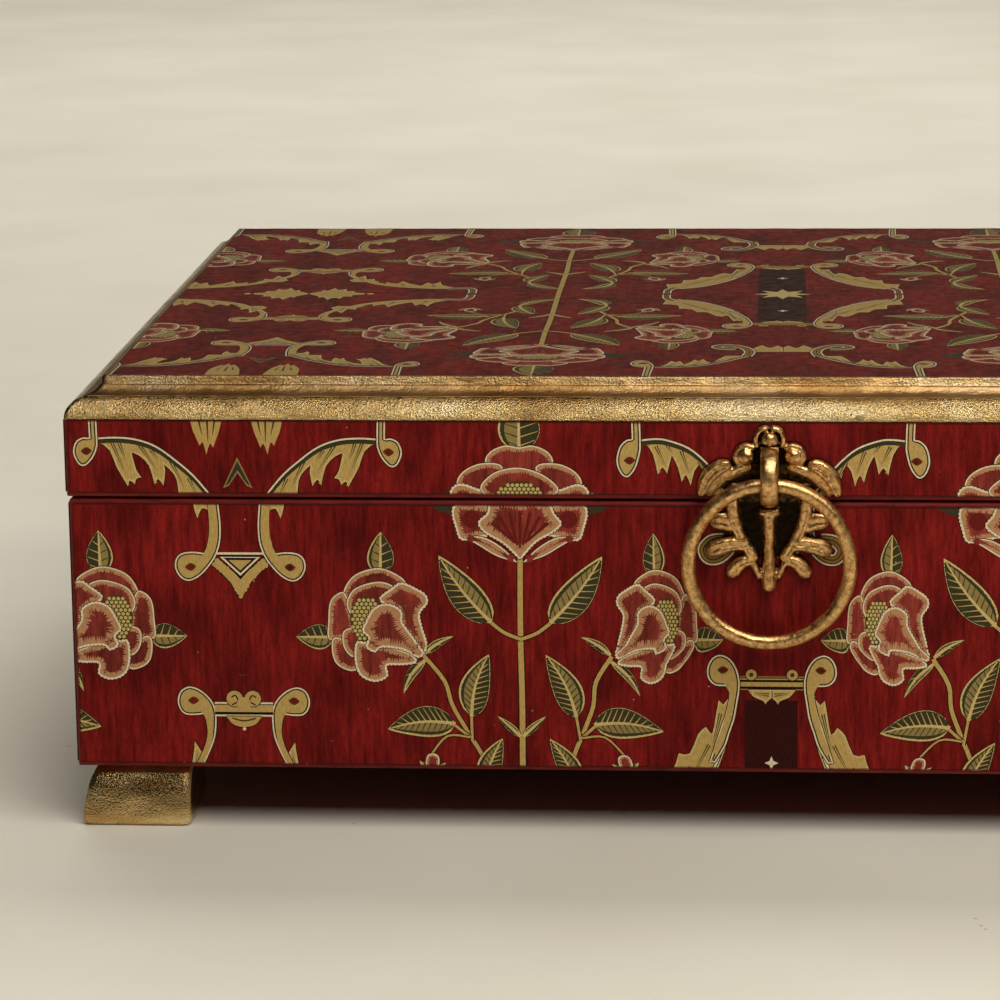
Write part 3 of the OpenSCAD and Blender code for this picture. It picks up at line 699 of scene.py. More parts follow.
def printed_sheet(node, body, shapes, outline, right, up, origin, tone=1.0):
    """A printed sheet in place of a CAD one. origin is where x and y are 0. A tone below 1
    darkens all its inks, as painted shade.
    """
    flat, faces, inks = cut_sheet(shapes, outline)
    out = right.cross(up)
    thick = paper_t
    rim = open_edges(faces)
    follow = dict(rim)
    loop = [rim[0][0]]
    while follow[loop[-1]] != loop[0]:
        loop.append(follow[loop[-1]])
    rows = np.outer(flat[:, 0] * MM, right) + np.outer(flat[:, 1] * MM, up)
    verts = (rows + np.array(origin)).tolist()
    back = {}
    for index in loop:
        back[index] = len(verts)
        verts.append([c - n * thick for c, n in zip(verts[index], out)])
    all_faces = faces.tolist()
    all_faces += [(b, a, back[a], back[b]) for a, b in rim]
    all_faces.append([back[index] for index in reversed(loop)])
    mesh = bpy.data.meshes.new(node + "_sheet")
    mesh.from_pydata(verts, [], all_faces)
    plain = INK_NAMES.index("ground_dark")
    per_face = np.concatenate([inks, np.full(len(rim) + 1, plain)])
    sizes = np.array([len(face) for face in all_faces])
    colours = np.array([INKS[name] for name in INK_NAMES])[per_face]
    # Painted shade: a tone below 1 darkens every ink of the sheet.
    colours[:, :3] *= tone
    ink_layer = mesh.color_attributes.new("ink", "FLOAT_COLOR", "CORNER")
    ink_layer.data.foreach_set("color", np.repeat(colours, sizes, 0).ravel())
    streaked = np.isin(per_face, [INK_NAMES.index(name) for name in
                                  ("ground", "ground_dark", "rose")]
                       ).astype(float)
    streak_layer = mesh.attributes.new("streaked", "FLOAT", "CORNER")
    streak_layer.data.foreach_set("value", np.repeat(streaked, sizes))
    low, high = np.min(outline, axis=0), np.max(outline, axis=0)
    corner = np.concatenate([np.array(face) for face in all_faces])
    every = np.zeros((len(verts), 2))
    every[:len(flat)] = flat
    for index in loop:
        every[back[index]] = flat[index]
    at = every[corner]
    bake = (at - low) / (high - low) * 0.96 + 0.01
    hidden = np.repeat(np.arange(len(all_faces)) >= len(faces), sizes)
    thin_band, band_start = 0.01, 0.975
    bake[hidden] = bake[hidden] * [1, thin_band] + [0, band_start]
    for layer, values in (("OFBake", bake), ("print_map", at),
                          ("from_low", at - low), ("from_high", high - at)):
        uv = mesh.uv_layers.new(name=layer)
        uv.data.foreach_set("uv", values.ravel())
    piece = bpy.data.objects.new(node + "_sheet", mesh)
    bpy.context.scene.collection.objects.link(piece)
    mesh.materials.append(printed_paper)
    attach(piece, body)
    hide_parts(node)


# Materials, each a small network of nodes

def new_material(name, roughness=0.5, metallic=0.0):
    material = bpy.data.materials.new(name)
    material.use_nodes = True
    shader = material.node_tree.nodes["Principled BSDF"]
    shader.inputs["Roughness"].default_value = roughness
    shader.inputs["Metallic"].default_value = metallic
    return material, material.node_tree, shader


def link(tree, source, socket):
    """Joins a node's first output, or a (node, output name), to a socket."""
    if isinstance(source, tuple):
        source = source[0].outputs[source[1]]
    else:
        source = source.outputs[0]
    tree.links.new(source, socket)


def place(tree, source, stretch=(1, 1, 1)):
    """Coordinates from an object or a UV map, stretched along each axis."""
    if source == "object":
        coords = (tree.nodes.new("ShaderNodeTexCoord"), "Object")
    else:
        coords = tree.nodes.new("ShaderNodeUVMap")
        coords.uv_map = source
    mapping = tree.nodes.new("ShaderNodeMapping")
    mapping.inputs["Scale"].default_value = stretch
    link(tree, coords, mapping.inputs["Vector"])
    return mapping


def attribute(tree, name):
    """A value that the mesh carries under a name."""
    made = tree.nodes.new("ShaderNodeAttribute")
    made.attribute_name = name
    return made


def spots(tree, coords, scale, radius):
    """1 inside small round spots that are strewn about, and 0 elsewhere."""
    cells = tree.nodes.new("ShaderNodeTexVoronoi")
    cells.inputs["Scale"].default_value = scale
    link(tree, coords, cells.inputs["Vector"])
    return maths(tree, "LESS_THAN", (cells, "Distance"), radius)


def noise(tree, coords, scale, detail=3.0, roughness=0.5):
    made = tree.nodes.new("ShaderNodeTexNoise")
    made.inputs["Scale"].default_value = scale
    made.inputs["Detail"].default_value = detail
    made.inputs["Roughness"].default_value = roughness
    link(tree, coords, made.inputs["Vector"])
    return made


def ramp(tree, source, *stops):
    """Colours or plain values along a factor: (place, colour or value)."""
    made = tree.nodes.new("ShaderNodeValToRGB")
    elements = made.color_ramp.elements
    while len(elements) < len(stops):
        elements.new(1)
    for element, (where, value) in zip(elements, stops):
        element.position = where
        element.color = (value if isinstance(value, tuple)
                         else (value, value, value, 1))
    link(tree, source, made.inputs["Fac"])
    return made


def mix(tree, kind, factor, first, second):
    """Mixes two colours. factor and second may be values or nodes."""
    made = tree.nodes.new("ShaderNodeMix")
    made.data_type = "RGBA"
    made.blend_type = kind
    sockets = (made.inputs[0], made.inputs[6], made.inputs[7])
    for socket, value in zip(sockets, (factor, first, second)):
        if isinstance(value, (float, int)) or (isinstance(value, tuple)
                                               and len(value) == 4):
            socket.default_value = value
        else:
            link(tree, value, socket)
    return (made, "Result")


def cover(tree, colour, where, amount, over):
    """Another colour laid over the first, by an amount, where a node is 1."""
    return mix(tree, "MIX", maths(tree, "MULTIPLY", where, amount), colour,
               over)


def maths(tree, kind, first, second=0.0):
    made = tree.nodes.new("ShaderNodeMath")
    made.operation = kind
    for socket, value in zip(made.inputs, (first, second)):
        if isinstance(value, (float, int)):
            socket.default_value = value
        else:
            link(tree, value, socket)
    return made


def bump(tree, shader, height, depth, strength=1.0):
    """Gives a shader bumps of that height, in metres."""
    made = tree.nodes.new("ShaderNodeBump")
    made.inputs["Strength"].default_value = strength
    made.inputs["Distance"].default_value = depth
    link(tree, height, made.inputs["Height"])
    link(tree, made, shader.inputs["Normal"])


def border(tree):
    """Distance in millimetres to the nearest edge of a printed sheet."""
    sides = []
    for layer in ("from_low", "from_high"):
        split = tree.nodes.new("ShaderNodeSeparateXYZ")
        link(tree, place(tree, layer), split.inputs[0])
        sides.append(maths(tree, "MINIMUM", (split, "X"), (split, "Y")))
    return maths(tree, "MINIMUM", *sides)


def printed_paper_material():
    """Old print under varnish: streaked red ground, specks and worn edges."""
    made, tree, shader = new_material("printed_paper")
    shader.inputs["Specular IOR Level"].default_value = 0.05
    ink = attribute(tree, "ink")
    streaked = attribute(tree, "streaked")
    upright = place(tree, "print_map", (1, 0.12, 1))
    plain = place(tree, "print_map")
    streaks = ramp(tree, noise(tree, upright, 0.9, 4, 0.65),
                   (0.3, 0.42), (0.52, 0.86), (0.7, 1.2))
    clouds = ramp(tree, noise(tree, place(tree, "print_map", (1, 0.5, 1)),
                              0.09, 3), (0.3, 0.55), (0.62, 1.22))
    ground = mix(tree, "MULTIPLY", 1.0, (ink, "Color"), streaks)
    ground = mix(tree, "MULTIPLY", 1.0, ground, clouds)
    colour = mix(tree, "MIX", (streaked, "Fac"), (ink, "Color"), ground)
    mottle = ramp(tree, noise(tree, place(tree, "print_map", (1.6, 0.5, 1)),
                              1.6, 5, 0.7), (0.3, 0.6), (0.6, 1.1))
    colour = mix(tree, "MULTIPLY", 0.7, colour, mottle)
    rubbed = ramp(tree, noise(tree, place(tree, "print_map", (0.3, 1, 1)),
                              2.6, 3, 0.6), (0.66, 0.0), (0.74, 1.0))
    colour = cover(tree, colour, rubbed, 0.16, paint(150, 92, 66))
    specks = spots(tree, plain, 0.16, 0.028)
    colour = cover(tree, colour, specks, 0.55, paint(214, 190, 160))
    wear = ramp(tree, maths(tree, "ADD", border(tree),
                            maths(tree, "MULTIPLY",
                                  noise(tree, plain, 0.7, 4), -0.45)),
                (0.0, 1.0), (0.08, 0.0))
    colour = cover(tree, colour, wear, 0.7, paint(58, 22, 17))
    link(tree, colour, shader.inputs["Base Color"])
    link(tree, ramp(tree, noise(tree, plain, 0.35, 3), (0.3, 0.36),
                    (0.7, 0.5)), shader.inputs["Roughness"])
    lumps = noise(tree, place(tree, "print_map", (1, 0.5, 1)), 0.22, 4, 0.6)
    bump(tree, shader, lumps, 0.25 * MM, 0.5)
    return made


def painted_wood_material():
    made, tree, shader = new_material("dark_wood", 0.5)
    shader.inputs["Specular IOR Level"].default_value = 0.2
    grain = place(tree, "object", (1, 1, 6))
    tone = noise(tree, grain, 160, 5, 0.7)
    link(tree, ramp(tree, tone, (0.28, paint(56, 15, 13)),
                    (0.45, paint(112, 26, 21)), (0.75, paint(140, 37, 29))),
         shader.inputs["Base Color"])
    bump(tree, shader, tone, 0.12 * MM, 0.6)
    return made


def felt_material():
    made, tree, shader = new_material("red_felt", 0.95)
    shader.inputs["Sheen Weight"].default_value = 0.5
    shader.inputs["Sheen Roughness"].default_value = 0.6
    coords = place(tree, "object")
    fuzz = noise(tree, coords, 1800, 6, 0.75)
    clouds = noise(tree, coords, 40, 3)
    colour = ramp(tree, fuzz, (0.25, paint(66, 14, 18)),
                  (0.75, paint(112, 28, 32)))
    link(tree, mix(tree, "MULTIPLY", 0.6, colour,
                   ramp(tree, clouds, (0.3, 0.7), (0.7, 1.1))),
         shader.inputs["Base Color"])
    bump(tree, shader, fuzz, 0.3 * MM, 0.8)
    return made


def gilt_material():
    """Gold paint over a red ground: hammered and rubbed through. The cove and the fillet are
    duller, and a darker brown gold is painted there as shade and reflection.
    """
    made, tree, shader = new_material("gilt_wood", 0.3, 1.0)
    coords = place(tree, "object")
    along = place(tree, "object", (0.35, 0.35, 1))
    hollow = attribute(tree, "hollow")
    clouds = noise(tree, along, 120, 4, 0.6)
    colour = ramp(tree, clouds, (0.28, paint(166, 126, 72)),
                  (0.5, paint(224, 190, 128)), (0.72, paint(250, 230, 184)))
    grain = noise(tree, coords, 2300, 3, 0.6)
    colour = mix(tree, "MULTIPLY", 0.6, colour,
                 ramp(tree, grain, (0.34, 0.45), (0.55, 1.1)))
    # Painted shade and reflection: where the hollow attribute is set, in the cove and on the
    # fillet, the gold turns a darker brown.
    colour = cover(tree, colour, (hollow, "Fac"), 0.8, paint(138, 98, 54))
    rubbed = ramp(tree, noise(tree, along, 420, 6, 0.7),
                  (0.62, 0.0), (0.7, 1.0))
    colour = cover(tree, colour, rubbed, 0.7, paint(86, 50, 28))
    link(tree, colour, shader.inputs["Base Color"])
    sheen = ramp(tree, noise(tree, along, 300, 4), (0.3, 0.1), (0.7, 0.26))
    link(tree, maths(tree, "ADD", sheen,
                     maths(tree, "MULTIPLY", (hollow, "Fac"), 0.22)),
         shader.inputs["Roughness"])
    calm = attribute(tree, "calm")
    rough = maths(tree, "SUBTRACT", 1.0,
                  maths(tree, "MULTIPLY", (hollow, "Fac"), 0.75))
    height = maths(tree, "ADD", maths(tree, "MULTIPLY", grain, rough),
                   noise(tree, along, 420, 4, 0.6))
    height = maths(tree, "MULTIPLY", height,
                   maths(tree, "SUBTRACT", 1.0, (calm, "Fac")))
    bump(tree, shader, height, 0.42 * MM, 0.9)
    return made


def cast_brass_material():
    """Orange-gold castings with dark patina in the hollows, and a near-black painted shadow on
    what lies close to the lid's face.
    """
    made, tree, shader = new_material("pull_brass", 0.3, 1.0)
    coords = place(tree, "object")
    fine = noise(tree, coords, 900, 5, 0.7)
    colour = ramp(tree, fine, (0.32, paint(147, 94, 48)),
                  (0.62, paint(238, 192, 126)))
    painted_shadow_near_face = attribute(tree, "painted_shadow_near_face")
    hollow = tree.nodes.new("ShaderNodeAmbientOcclusion")
    hollow.inputs["Distance"].default_value = 2.2 * MM
    hollow.samples = 8
    patina_and_shadow = ramp(tree, maths(tree, "ADD", (hollow, "AO"),
                             maths(tree, "MULTIPLY",
                                   noise(tree, coords, 700, 4), 0.35)),
                 (0.5, 1.0), (0.92, 0.0))
    # Painted shadow: what lies within half a millimetre of the lid's face, the low webs between
    # the leaves among it, goes near black, fading out by 1 mm.
    patina_and_shadow = maths(tree, "MAXIMUM", maths(tree, "MULTIPLY", patina_and_shadow, 0.95),
                  (painted_shadow_near_face, "Fac"))
    colour = mix(tree, "MIX", patina_and_shadow, colour, paint(26, 17, 9))
    stains = ramp(tree, noise(tree, coords, 1300, 4, 0.7), (0.63, 0.0),
                  (0.7, 1.0))
    colour = cover(tree, colour, stains, 0.75, paint(52, 44, 24))
    link(tree, colour, shader.inputs["Base Color"])
    link(tree, ramp(tree, noise(tree, coords, 500, 4), (0.3, 0.22),
                    (0.7, 0.46)), shader.inputs["Roughness"])
    bump(tree, shader, noise(tree, coords, 650, 4, 0.6), 0.3 * MM, 0.5)
    return made


def hinge_brass_material():
    made, tree, shader = new_material("hinge_brass", 0.3, 1.0)
    coords = place(tree, "object", (0.2, 1, 1))
    brushed = noise(tree, coords, 2600, 5, 0.7)
    tarnish = noise(tree, place(tree, "object"), 160, 4)
    colour = ramp(tree, tarnish, (0.35, paint(150, 112, 56)),
                  (0.65, paint(206, 166, 92)))
    link(tree, mix(tree, "MULTIPLY", 0.4, colour,
                   ramp(tree, brushed, (0.3, 0.6), (0.6, 1.1))),
         shader.inputs["Base Color"])
    bump(tree, shader, brushed, 0.05 * MM, 0.4)
    return made


def plaster_material(name, colour, shade):
    """Pale painted board of the floor or wall, with a few tiny pits."""
    made, tree, shader = new_material(name, 0.85)
    coords = place(tree, "object")
    tone = ramp(tree, noise(tree, coords, 9, 4), (0.3, shade), (0.7, colour))
    pits = spots(tree, coords, 120, 0.05)
    few = ramp(tree, noise(tree, coords, 30, 3), (0.5, 0.0), (0.62, 1.0))
    dirt = maths(tree, "MULTIPLY", pits, few)
    link(tree, cover(tree, tone, dirt, 0.5, paint(120, 104, 84)),
         shader.inputs["Base Color"])
    bump(tree, shader, noise(tree, coords, 500, 4, 0.7), 0.2 * MM, 0.4)
    return made


printed_paper = printed_paper_material()
painted_wood = painted_wood_material()
red_felt = felt_material()
gilt = gilt_material()
cast_brass = cast_brass_material()
hinge_brass = hinge_brass_material()


# The nodes that stay as the frame gives them, with their finish

def finish_of(name):
    if "lining" in name:
        return red_felt
    if "hinge" in name or "screws" in name:
        return hinge_brass
    if "pull" in name:
        return cast_brass
    if "moulding" in name or "foot" in name:
        return gilt
    return painted_wood


for name, node in nodes.items():
    node.data.materials.clear()
    node.data.materials.append(finish_of(name))


# Printed sheets on the four sides of base and lid, and on the top

UP = Vector((0, 0, 1))
SIDES = {"front": Vector((1, 0, 0)), "back": Vector((-1, 0, 0)),
         "left": Vector((0, -1, 0)), "right": Vector((0, 1, 0))}
hinge = next(j for j in frame["joints"] if j["name"] == "lid_hinge")
hinge_y = hinge["pos_m"][1]
half_open = hinge["range_deg"][1] / 2
paper_t = top_high.z - top_low.z


def sheet_outline(low, high, part, side, right, middle):
    """The sheet's edge in print millimetres, less its notch at the hinge."""
    ends = sorted((corner - middle).dot(right) / MM for corner in (low, high))
    bottom, top = ((corner.z - seam_z) / MM for corner in (low, high))
    points = [(ends[0], bottom), (ends[1], bottom), (ends[1], top),
              (ends[0], top)]
    if side in ("front", "back"):
        return points
    rear = (high.y - hinge_y) / MM
    cut_z = rear * math.tan(math.radians(half_open))
    near = top if part == "base" else bottom
    turn = -1 if part == "base" else 1
    notch = max(cut_z - abs(near), 0.05)
    at = ends[0] if side == "left" else ends[1]
    inward = 1 if side == "left" else -1
    corner = (at, near)
    cut = [(at + inward * notch * 0.9, near), (at, near + turn * notch)]
    index = points.index(corner)
    before = points[index - 1]
    if before[0] == at:
        cut.reverse()
    return points[:index] + cut + points[index + 1:]


for part in ("base", "lid"):
    for side, right in SIDES.items():
        node = f"{part}_print_{side}"
        low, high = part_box(node)
        out = right.cross(UP)
        reach = max(low.dot(out), high.dot(out))
        middle = Vector((0, mid_y, seam_z))
        origin = middle + out * (reach - middle.dot(out))
        outline = sheet_outline(low, high, part, side, right, middle)
        shapes = moved(LAYOUT, FRONT_SHIFT, LID_DROP if part == "lid" else 0)
        printed_sheet(node, part, shapes, outline, right, UP, origin)

panel_w = (top_high.x - top_low.x) / MM
panel_d = (top_high.y - top_low.y) / MM
# Painted shade on the top: its inks are darkened to 0.43 of their colour, so it looks less lit
# than the sides.
printed_sheet("lid_print_top", "lid", over_top(moved(LAYOUT, TOP_SHIFT)),
              [(-panel_w / 2, 0), (panel_w / 2, 0), (panel_w / 2, panel_d),
               (-panel_w / 2, panel_d)],
              Vector((1, 0, 0)), Vector((0, 1, 0)),
              Vector((0, top_low.y, top_high.z)), tone=0.43)


# Shaped pieces: moulding, feet and the parts of the pull

def wander(point, scale, seed=0.0):
    """Soft noise from -1 to 1, for lumps in carved and cast surfaces."""
    return mathutils_noise.noise(Vector(point) * scale
                                 + Vector((seed, 2 * seed, -seed)))


def new_piece(name, verts, faces, body, slot, material, *replaced):
    mesh = bpy.data.meshes.new(name)
    mesh.from_pydata([tuple(v) for v in verts], [], faces)
    mesh.materials.append(material)
    for face in mesh.polygons:
        face.use_smooth = True
    piece = bpy.data.objects.new(name, mesh)
    bpy.context.scene.collection.objects.link(piece)
    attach(piece, body)
    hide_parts(*replaced)
    return piece


def point_values(piece, name, values):
    """A number at each point of a mesh, which its material reads by name."""
    layer = piece.data.attributes.new(name, "FLOAT", "POINT")
    layer.data.foreach_set("value", values)


def arc(middle_x, middle_y, radius, start, end, steps):
    """Points of an arc, in degrees, as pairs."""
    turns = [math.radians(start + (end - start) * k / steps)
             for k in range(steps + 1)]
    return [(middle_x + radius * math.cos(t), middle_y + radius * math.sin(t))
            for t in turns]


def tube_faces(rows, count):
    """Faces of a solid swept through rows of count points, ends included."""
    faces = []
    for k in range(rows - 1):
        for j in range(count):
            a, b = k * count + j, k * count + (j + 1) % count
            faces.append((a, b, b + count, a + count))
    faces.append(tuple(range(count - 1, -1, -1)))
    faces.append(tuple(range((rows - 1) * count, rows * count)))
    return faces


def mould_section():
    """The moulding cut across, in metres: how far inwards, and how high."""
    low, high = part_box("lid_moulding_front")
    width = (top_low.y - low.y) / MM
    height = (high.z - low.z) / MM
    foot, step, worn = 0.4, 0.3, 0.25
    round_r, cove_r = 4.0, 3.6
    fillet_w, fillet_h = 0.9, 1.8
    cove_x = round_r - step
    cove_y = foot + round_r + step + cove_r
    shelf = height - fillet_h
    rise = math.degrees(math.asin((cove_y - shelf) / cove_r))
    points = [(worn, 0), (0, worn)]
    points += arc(round_r, foot, round_r, 180, 92, 12)
    points += [(cove_x, foot + round_r)]
    first = len(points)
    points += arc(cove_x, cove_y, cove_r, -88, -rise, 10)
    cove = range(first, len(points))
    points += [(width - fillet_w - worn, shelf),
               (width - fillet_w, shelf + worn)]
    points += [(width - fillet_w, height - worn),
               (width - fillet_w + worn, height),
               (width, height), (width, 0)]
    return [(x * MM, y * MM) for x, y in points], cove


def moulding(side, right):
    """One mitred length, with the uneven surface of hand-laid gilding."""
    name = "lid_moulding_" + side
    low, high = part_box(name)
    out = right.cross(UP)
    length = abs((high - low).dot(right))
    reach = max(low.dot(out), high.dot(out))
    middle = (low + high) / 2
    start = Vector((0, 0, low.z)) + out * reach
    start += right * (middle.dot(right) - length / 2)
    section, cove = mould_section()
    pitch = 1.1 * MM
    steps = round(length / pitch)
    verts = []
    for k in range(steps + 1):
        for inward, up in section:
            along = inward + (length - 2 * inward) * k / steps
            verts.append(start + right * along - out * inward + UP * up)
    count = len(section)
    free = range(1, count - 2)
    for k in range(steps + 1):
        for j in free:
            at = verts[k * count + j]
            lump = (wander(at, 210) * 0.11 + wander(at, 620, 3) * 0.06) * MM
            lump *= 1 if side == "front" else 0.5
            before = Vector(section[j - 1])
            after = Vector(section[j + 1])
            run = (after - before).normalized()
            shift = Vector((run.y, -run.x)) * -lump
            verts[k * count + j] = at - out * shift.x + UP * shift.y
    piece = new_piece("moulding_" + side, verts,
                      tube_faces(steps + 1, count), "lid", "gilt_wood", gilt,
                      name)
    # The hollow attribute weights the gilt's painted shade and reflection and its duller finish:
    # full in the cove, 0.75 on the fillet.
    fillet = range(cove[-1] + 1, count - 1)
    sunk = [1.0 if j in cove else 0.75 if j in fillet else 0.0
            for j in range(count)]
    point_values(piece, "hollow", sunk * (steps + 1))
    point_values(piece, "calm", [0.0 if side == "front" else 0.8] * len(verts))


for side, right in SIDES.items():
    moulding(side, right)


def foot(name):
    """A bracket foot: flared outer faces, soft edges and dents."""
    low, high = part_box(name)
    side_x = 1 if low.x > 0 else -1
    side_y = 1 if low.y > mid_y else -1
    width = high.x - low.x
    height = high.z - low.z
    drawn_in = 3.6 * MM
    flare = (height ** 2 + drawn_in ** 2) / (2 * drawn_in)
    soft = 0.9 * MM
    rings, across = 16, 14
    low_part, top_part = 1 / 8, 1 / 10
    verts = []
    for k in range(rings + 1):
        t = k / rings
        z = height * t
        drawn = flare - math.sqrt(flare ** 2 - z ** 2)
        ease = soft * (max(0.0, 1 - t / low_part) ** 2
                       + max(0.0, 1 - (1 - t) / top_part) ** 2)
        inner = width - ease
        outer = drawn + ease
        line = []
        corners = [(outer, outer), (inner, outer), (inner, inner),
                   (outer, inner)]
        for (ax, ay), (bx, by) in zip(corners, corners[1:] + corners[:1]):
            for j in range(across):
                s = j / across
                line.append((ax + (bx - ax) * s, ay + (by - ay) * s))
        for x, y in line:
            cx = min(max(x, outer + soft), inner - soft)
            cy = min(max(y, outer + soft), inner - soft)
            reach = math.hypot(x - cx, y - cy)
            if reach > soft:
                x = cx + (x - cx) * soft / reach
                y = cy + (y - cy) * soft / reach
            at = Vector((x, y, z))
            lump = (wander(at, 160, side_x) * 0.22
                    + wander(at, 520, side_y) * 0.08) * MM
            if 0 < k < rings:
                pull_in = Vector((x - width / 2, y - width / 2, 0))
                at += pull_in.normalized() * (lump - 0.2 * MM)
            verts.append(at)
    faces = tube_faces(rings + 1, 4 * across)
    corner_x = low.x if side_x < 0 else high.x
    corner_y = low.y if side_y < 0 else high.y
    placed = [Vector((corner_x - side_x * v.x, corner_y - side_y * v.y,
                      low.z + v.z)) for v in verts]
    if side_x * side_y < 0:
        faces = [face[::-1] for face in faces]
    piece = new_piece(name.replace("foot", "gilt_foot"), placed, faces,
                      "base", "gilt_wood", gilt, name)
    point_values(piece, "calm", [0.65] * len(placed))


for name in [n for n in nodes if n.startswith("foot_") and "screw" not in n]:
    foot(name)


# The pull, in millimetres: x across, t above the seam, out from the face

face_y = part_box("lid_print_front")[0].y


def at_pull(x, t, out):
    return Vector((x * MM, face_y - out * MM, seam_z + t * MM))


def blade(points, height, groove=0.0, sink=0.3):
    """A rounded leaf along points (x, t, half width), on the face. It can
    have a groove, and its edge is sunk into the face."""
    groove_w = 0.28
    line = smooth([p[:2] for p in points], 6, closed=False)
    widths = [p[2] for p in points]
    last = len(line) - 1
    across = 12
    verts = []
    length = [0.0]
    for a, b in zip(line, line[1:]):
        length.append(length[-1] + math.dist(a, b))
    for i, here in enumerate(line):
        before, after = line[max(i - 1, 0)], line[min(i + 1, last)]
        dx, dy = after[0] - before[0], after[1] - before[1]
        size = math.hypot(dx, dy)
        k = i / last * (len(widths) - 1)
        low = min(int(k), len(widths) - 2)
        half = widths[low] + (widths[low + 1] - widths[low]) * (k - low)
        end = min(length[i], length[-1] - length[i]) / half
        round_end = math.sqrt(max(0.02, 1 - max(0.0, 1 - end) ** 2))
        for j in range(across + 1):
            turn = math.pi * j / across
            side = math.cos(turn) * half * round_end
            dent = 1 - groove * math.exp(-(math.cos(turn) / groove_w) ** 2)
            out = math.sin(turn) * height * round_end * dent
            verts.append((here[0] - side * dy / size,
                          here[1] + side * dx / size, out))
        for j in (across, 0):
            x, t, _ = verts[i * (across + 3) + j]
            verts.append((x, t, -sink))
    return verts, tube_faces(last + 1, across + 3)


def ball(x, t, out, radius, squash=1.0):
    """A knob: rings of a squashed ball."""
    verts, faces = [(x, t, out + radius * squash)], []
    rings, around = 7, 14
    for k in range(1, rings):
        turn = math.pi * k / rings
        for j in range(around):
            spin = 2 * math.pi * j / around
            verts.append((x + radius * math.sin(turn) * math.cos(spin),
                          t + radius * math.sin(turn) * math.sin(spin),
                          out + radius * squash * math.cos(turn)))
    verts.append((x, t, out - radius * squash))
    for j in range(around):
        nxt = (j + 1) % around
        faces.append((0, 1 + j, 1 + nxt))
        for k in range(rings - 2):
            a = 1 + k * around
            faces.append((a + j, a + around + j, a + around + nxt, a + nxt))
        a = 1 + (rings - 2) * around
        faces.append((len(verts) - 1, a + nxt, a + j))
    return verts, faces


def cast(name, parts, body, grain, smoothing, *replaced):
    """Joins rough parts into one casting, as if modelled in wax."""
    verts, faces = [], []
    for part_verts, part_faces in parts:
        first = len(verts)
        verts += [at_pull(*v) for v in part_verts]
        faces += [tuple(first + k for k in face) for face in part_faces]
    piece = new_piece(name, verts, faces, body, "pull_brass", cast_brass,
                      *replaced)
    remesh = piece.modifiers.new("skin", "REMESH")
    remesh.mode = "VOXEL"
    remesh.voxel_size = grain * MM
    soften = piece.modifiers.new("soften", "SMOOTH")
    soften.factor = 0.5
    soften.iterations = smoothing
    bpy.context.view_layer.update()
    shaped = bpy.data.meshes.new_from_object(
        piece.evaluated_get(bpy.context.evaluated_depsgraph_get()))
    piece.modifiers.clear()
    piece.data = shaped
    spots = read_all(shaped.vertices, "co")
    lumps = [wander(spot, 900) * 0.07 + wander(spot, 2100, 5) * 0.03
             for spot in spots]
    spots += read_all(shaped.vertices, "normal") * np.outer(lumps, [MM] * 3)
    spots[:, 1] = np.minimum(spots[:, 1], face_y)
    shaped.vertices.foreach_set("co", spots.ravel())
    # Painted shadow on the plate: the share of near-black colour, full up to half a millimetre
    # off the face and none from 1 mm.
    above = (face_y - spots[:, 1]) / MM
    point_values(piece, "painted_shadow_near_face", np.clip(1.9 - above * 1.9, 0, 1))
    shaped.polygons.foreach_set("use_smooth", [True] * len(shaped.polygons))


def read_all(items, what):
    """One vector of each item, as rows of an array."""
    rows = np.empty(len(items) * 3)
    items.foreach_get(what, rows)
    return rows.reshape(-1, 3)


def mirrored(parts):
    """Each part, and its mirror image about the pull's middle."""
    return parts + [([(-x, t, out) for x, t, out in verts],
                     [face[::-1] for face in faces])
                    for verts, faces in parts]


def plate_slab(points, low, high):
    """A flat web between two heights above the face."""
    count = len(points)
    verts = [(x, t, low) for x, t in points]
    verts += [(x, t, high) for x, t in points]
    faces = [tuple(range(count - 1, -1, -1)),
             tuple(range(count, 2 * count))]
    faces += [(k, (k + 1) % count, count + (k + 1) % count, count + k)
              for k in range(count)]
    return verts, faces


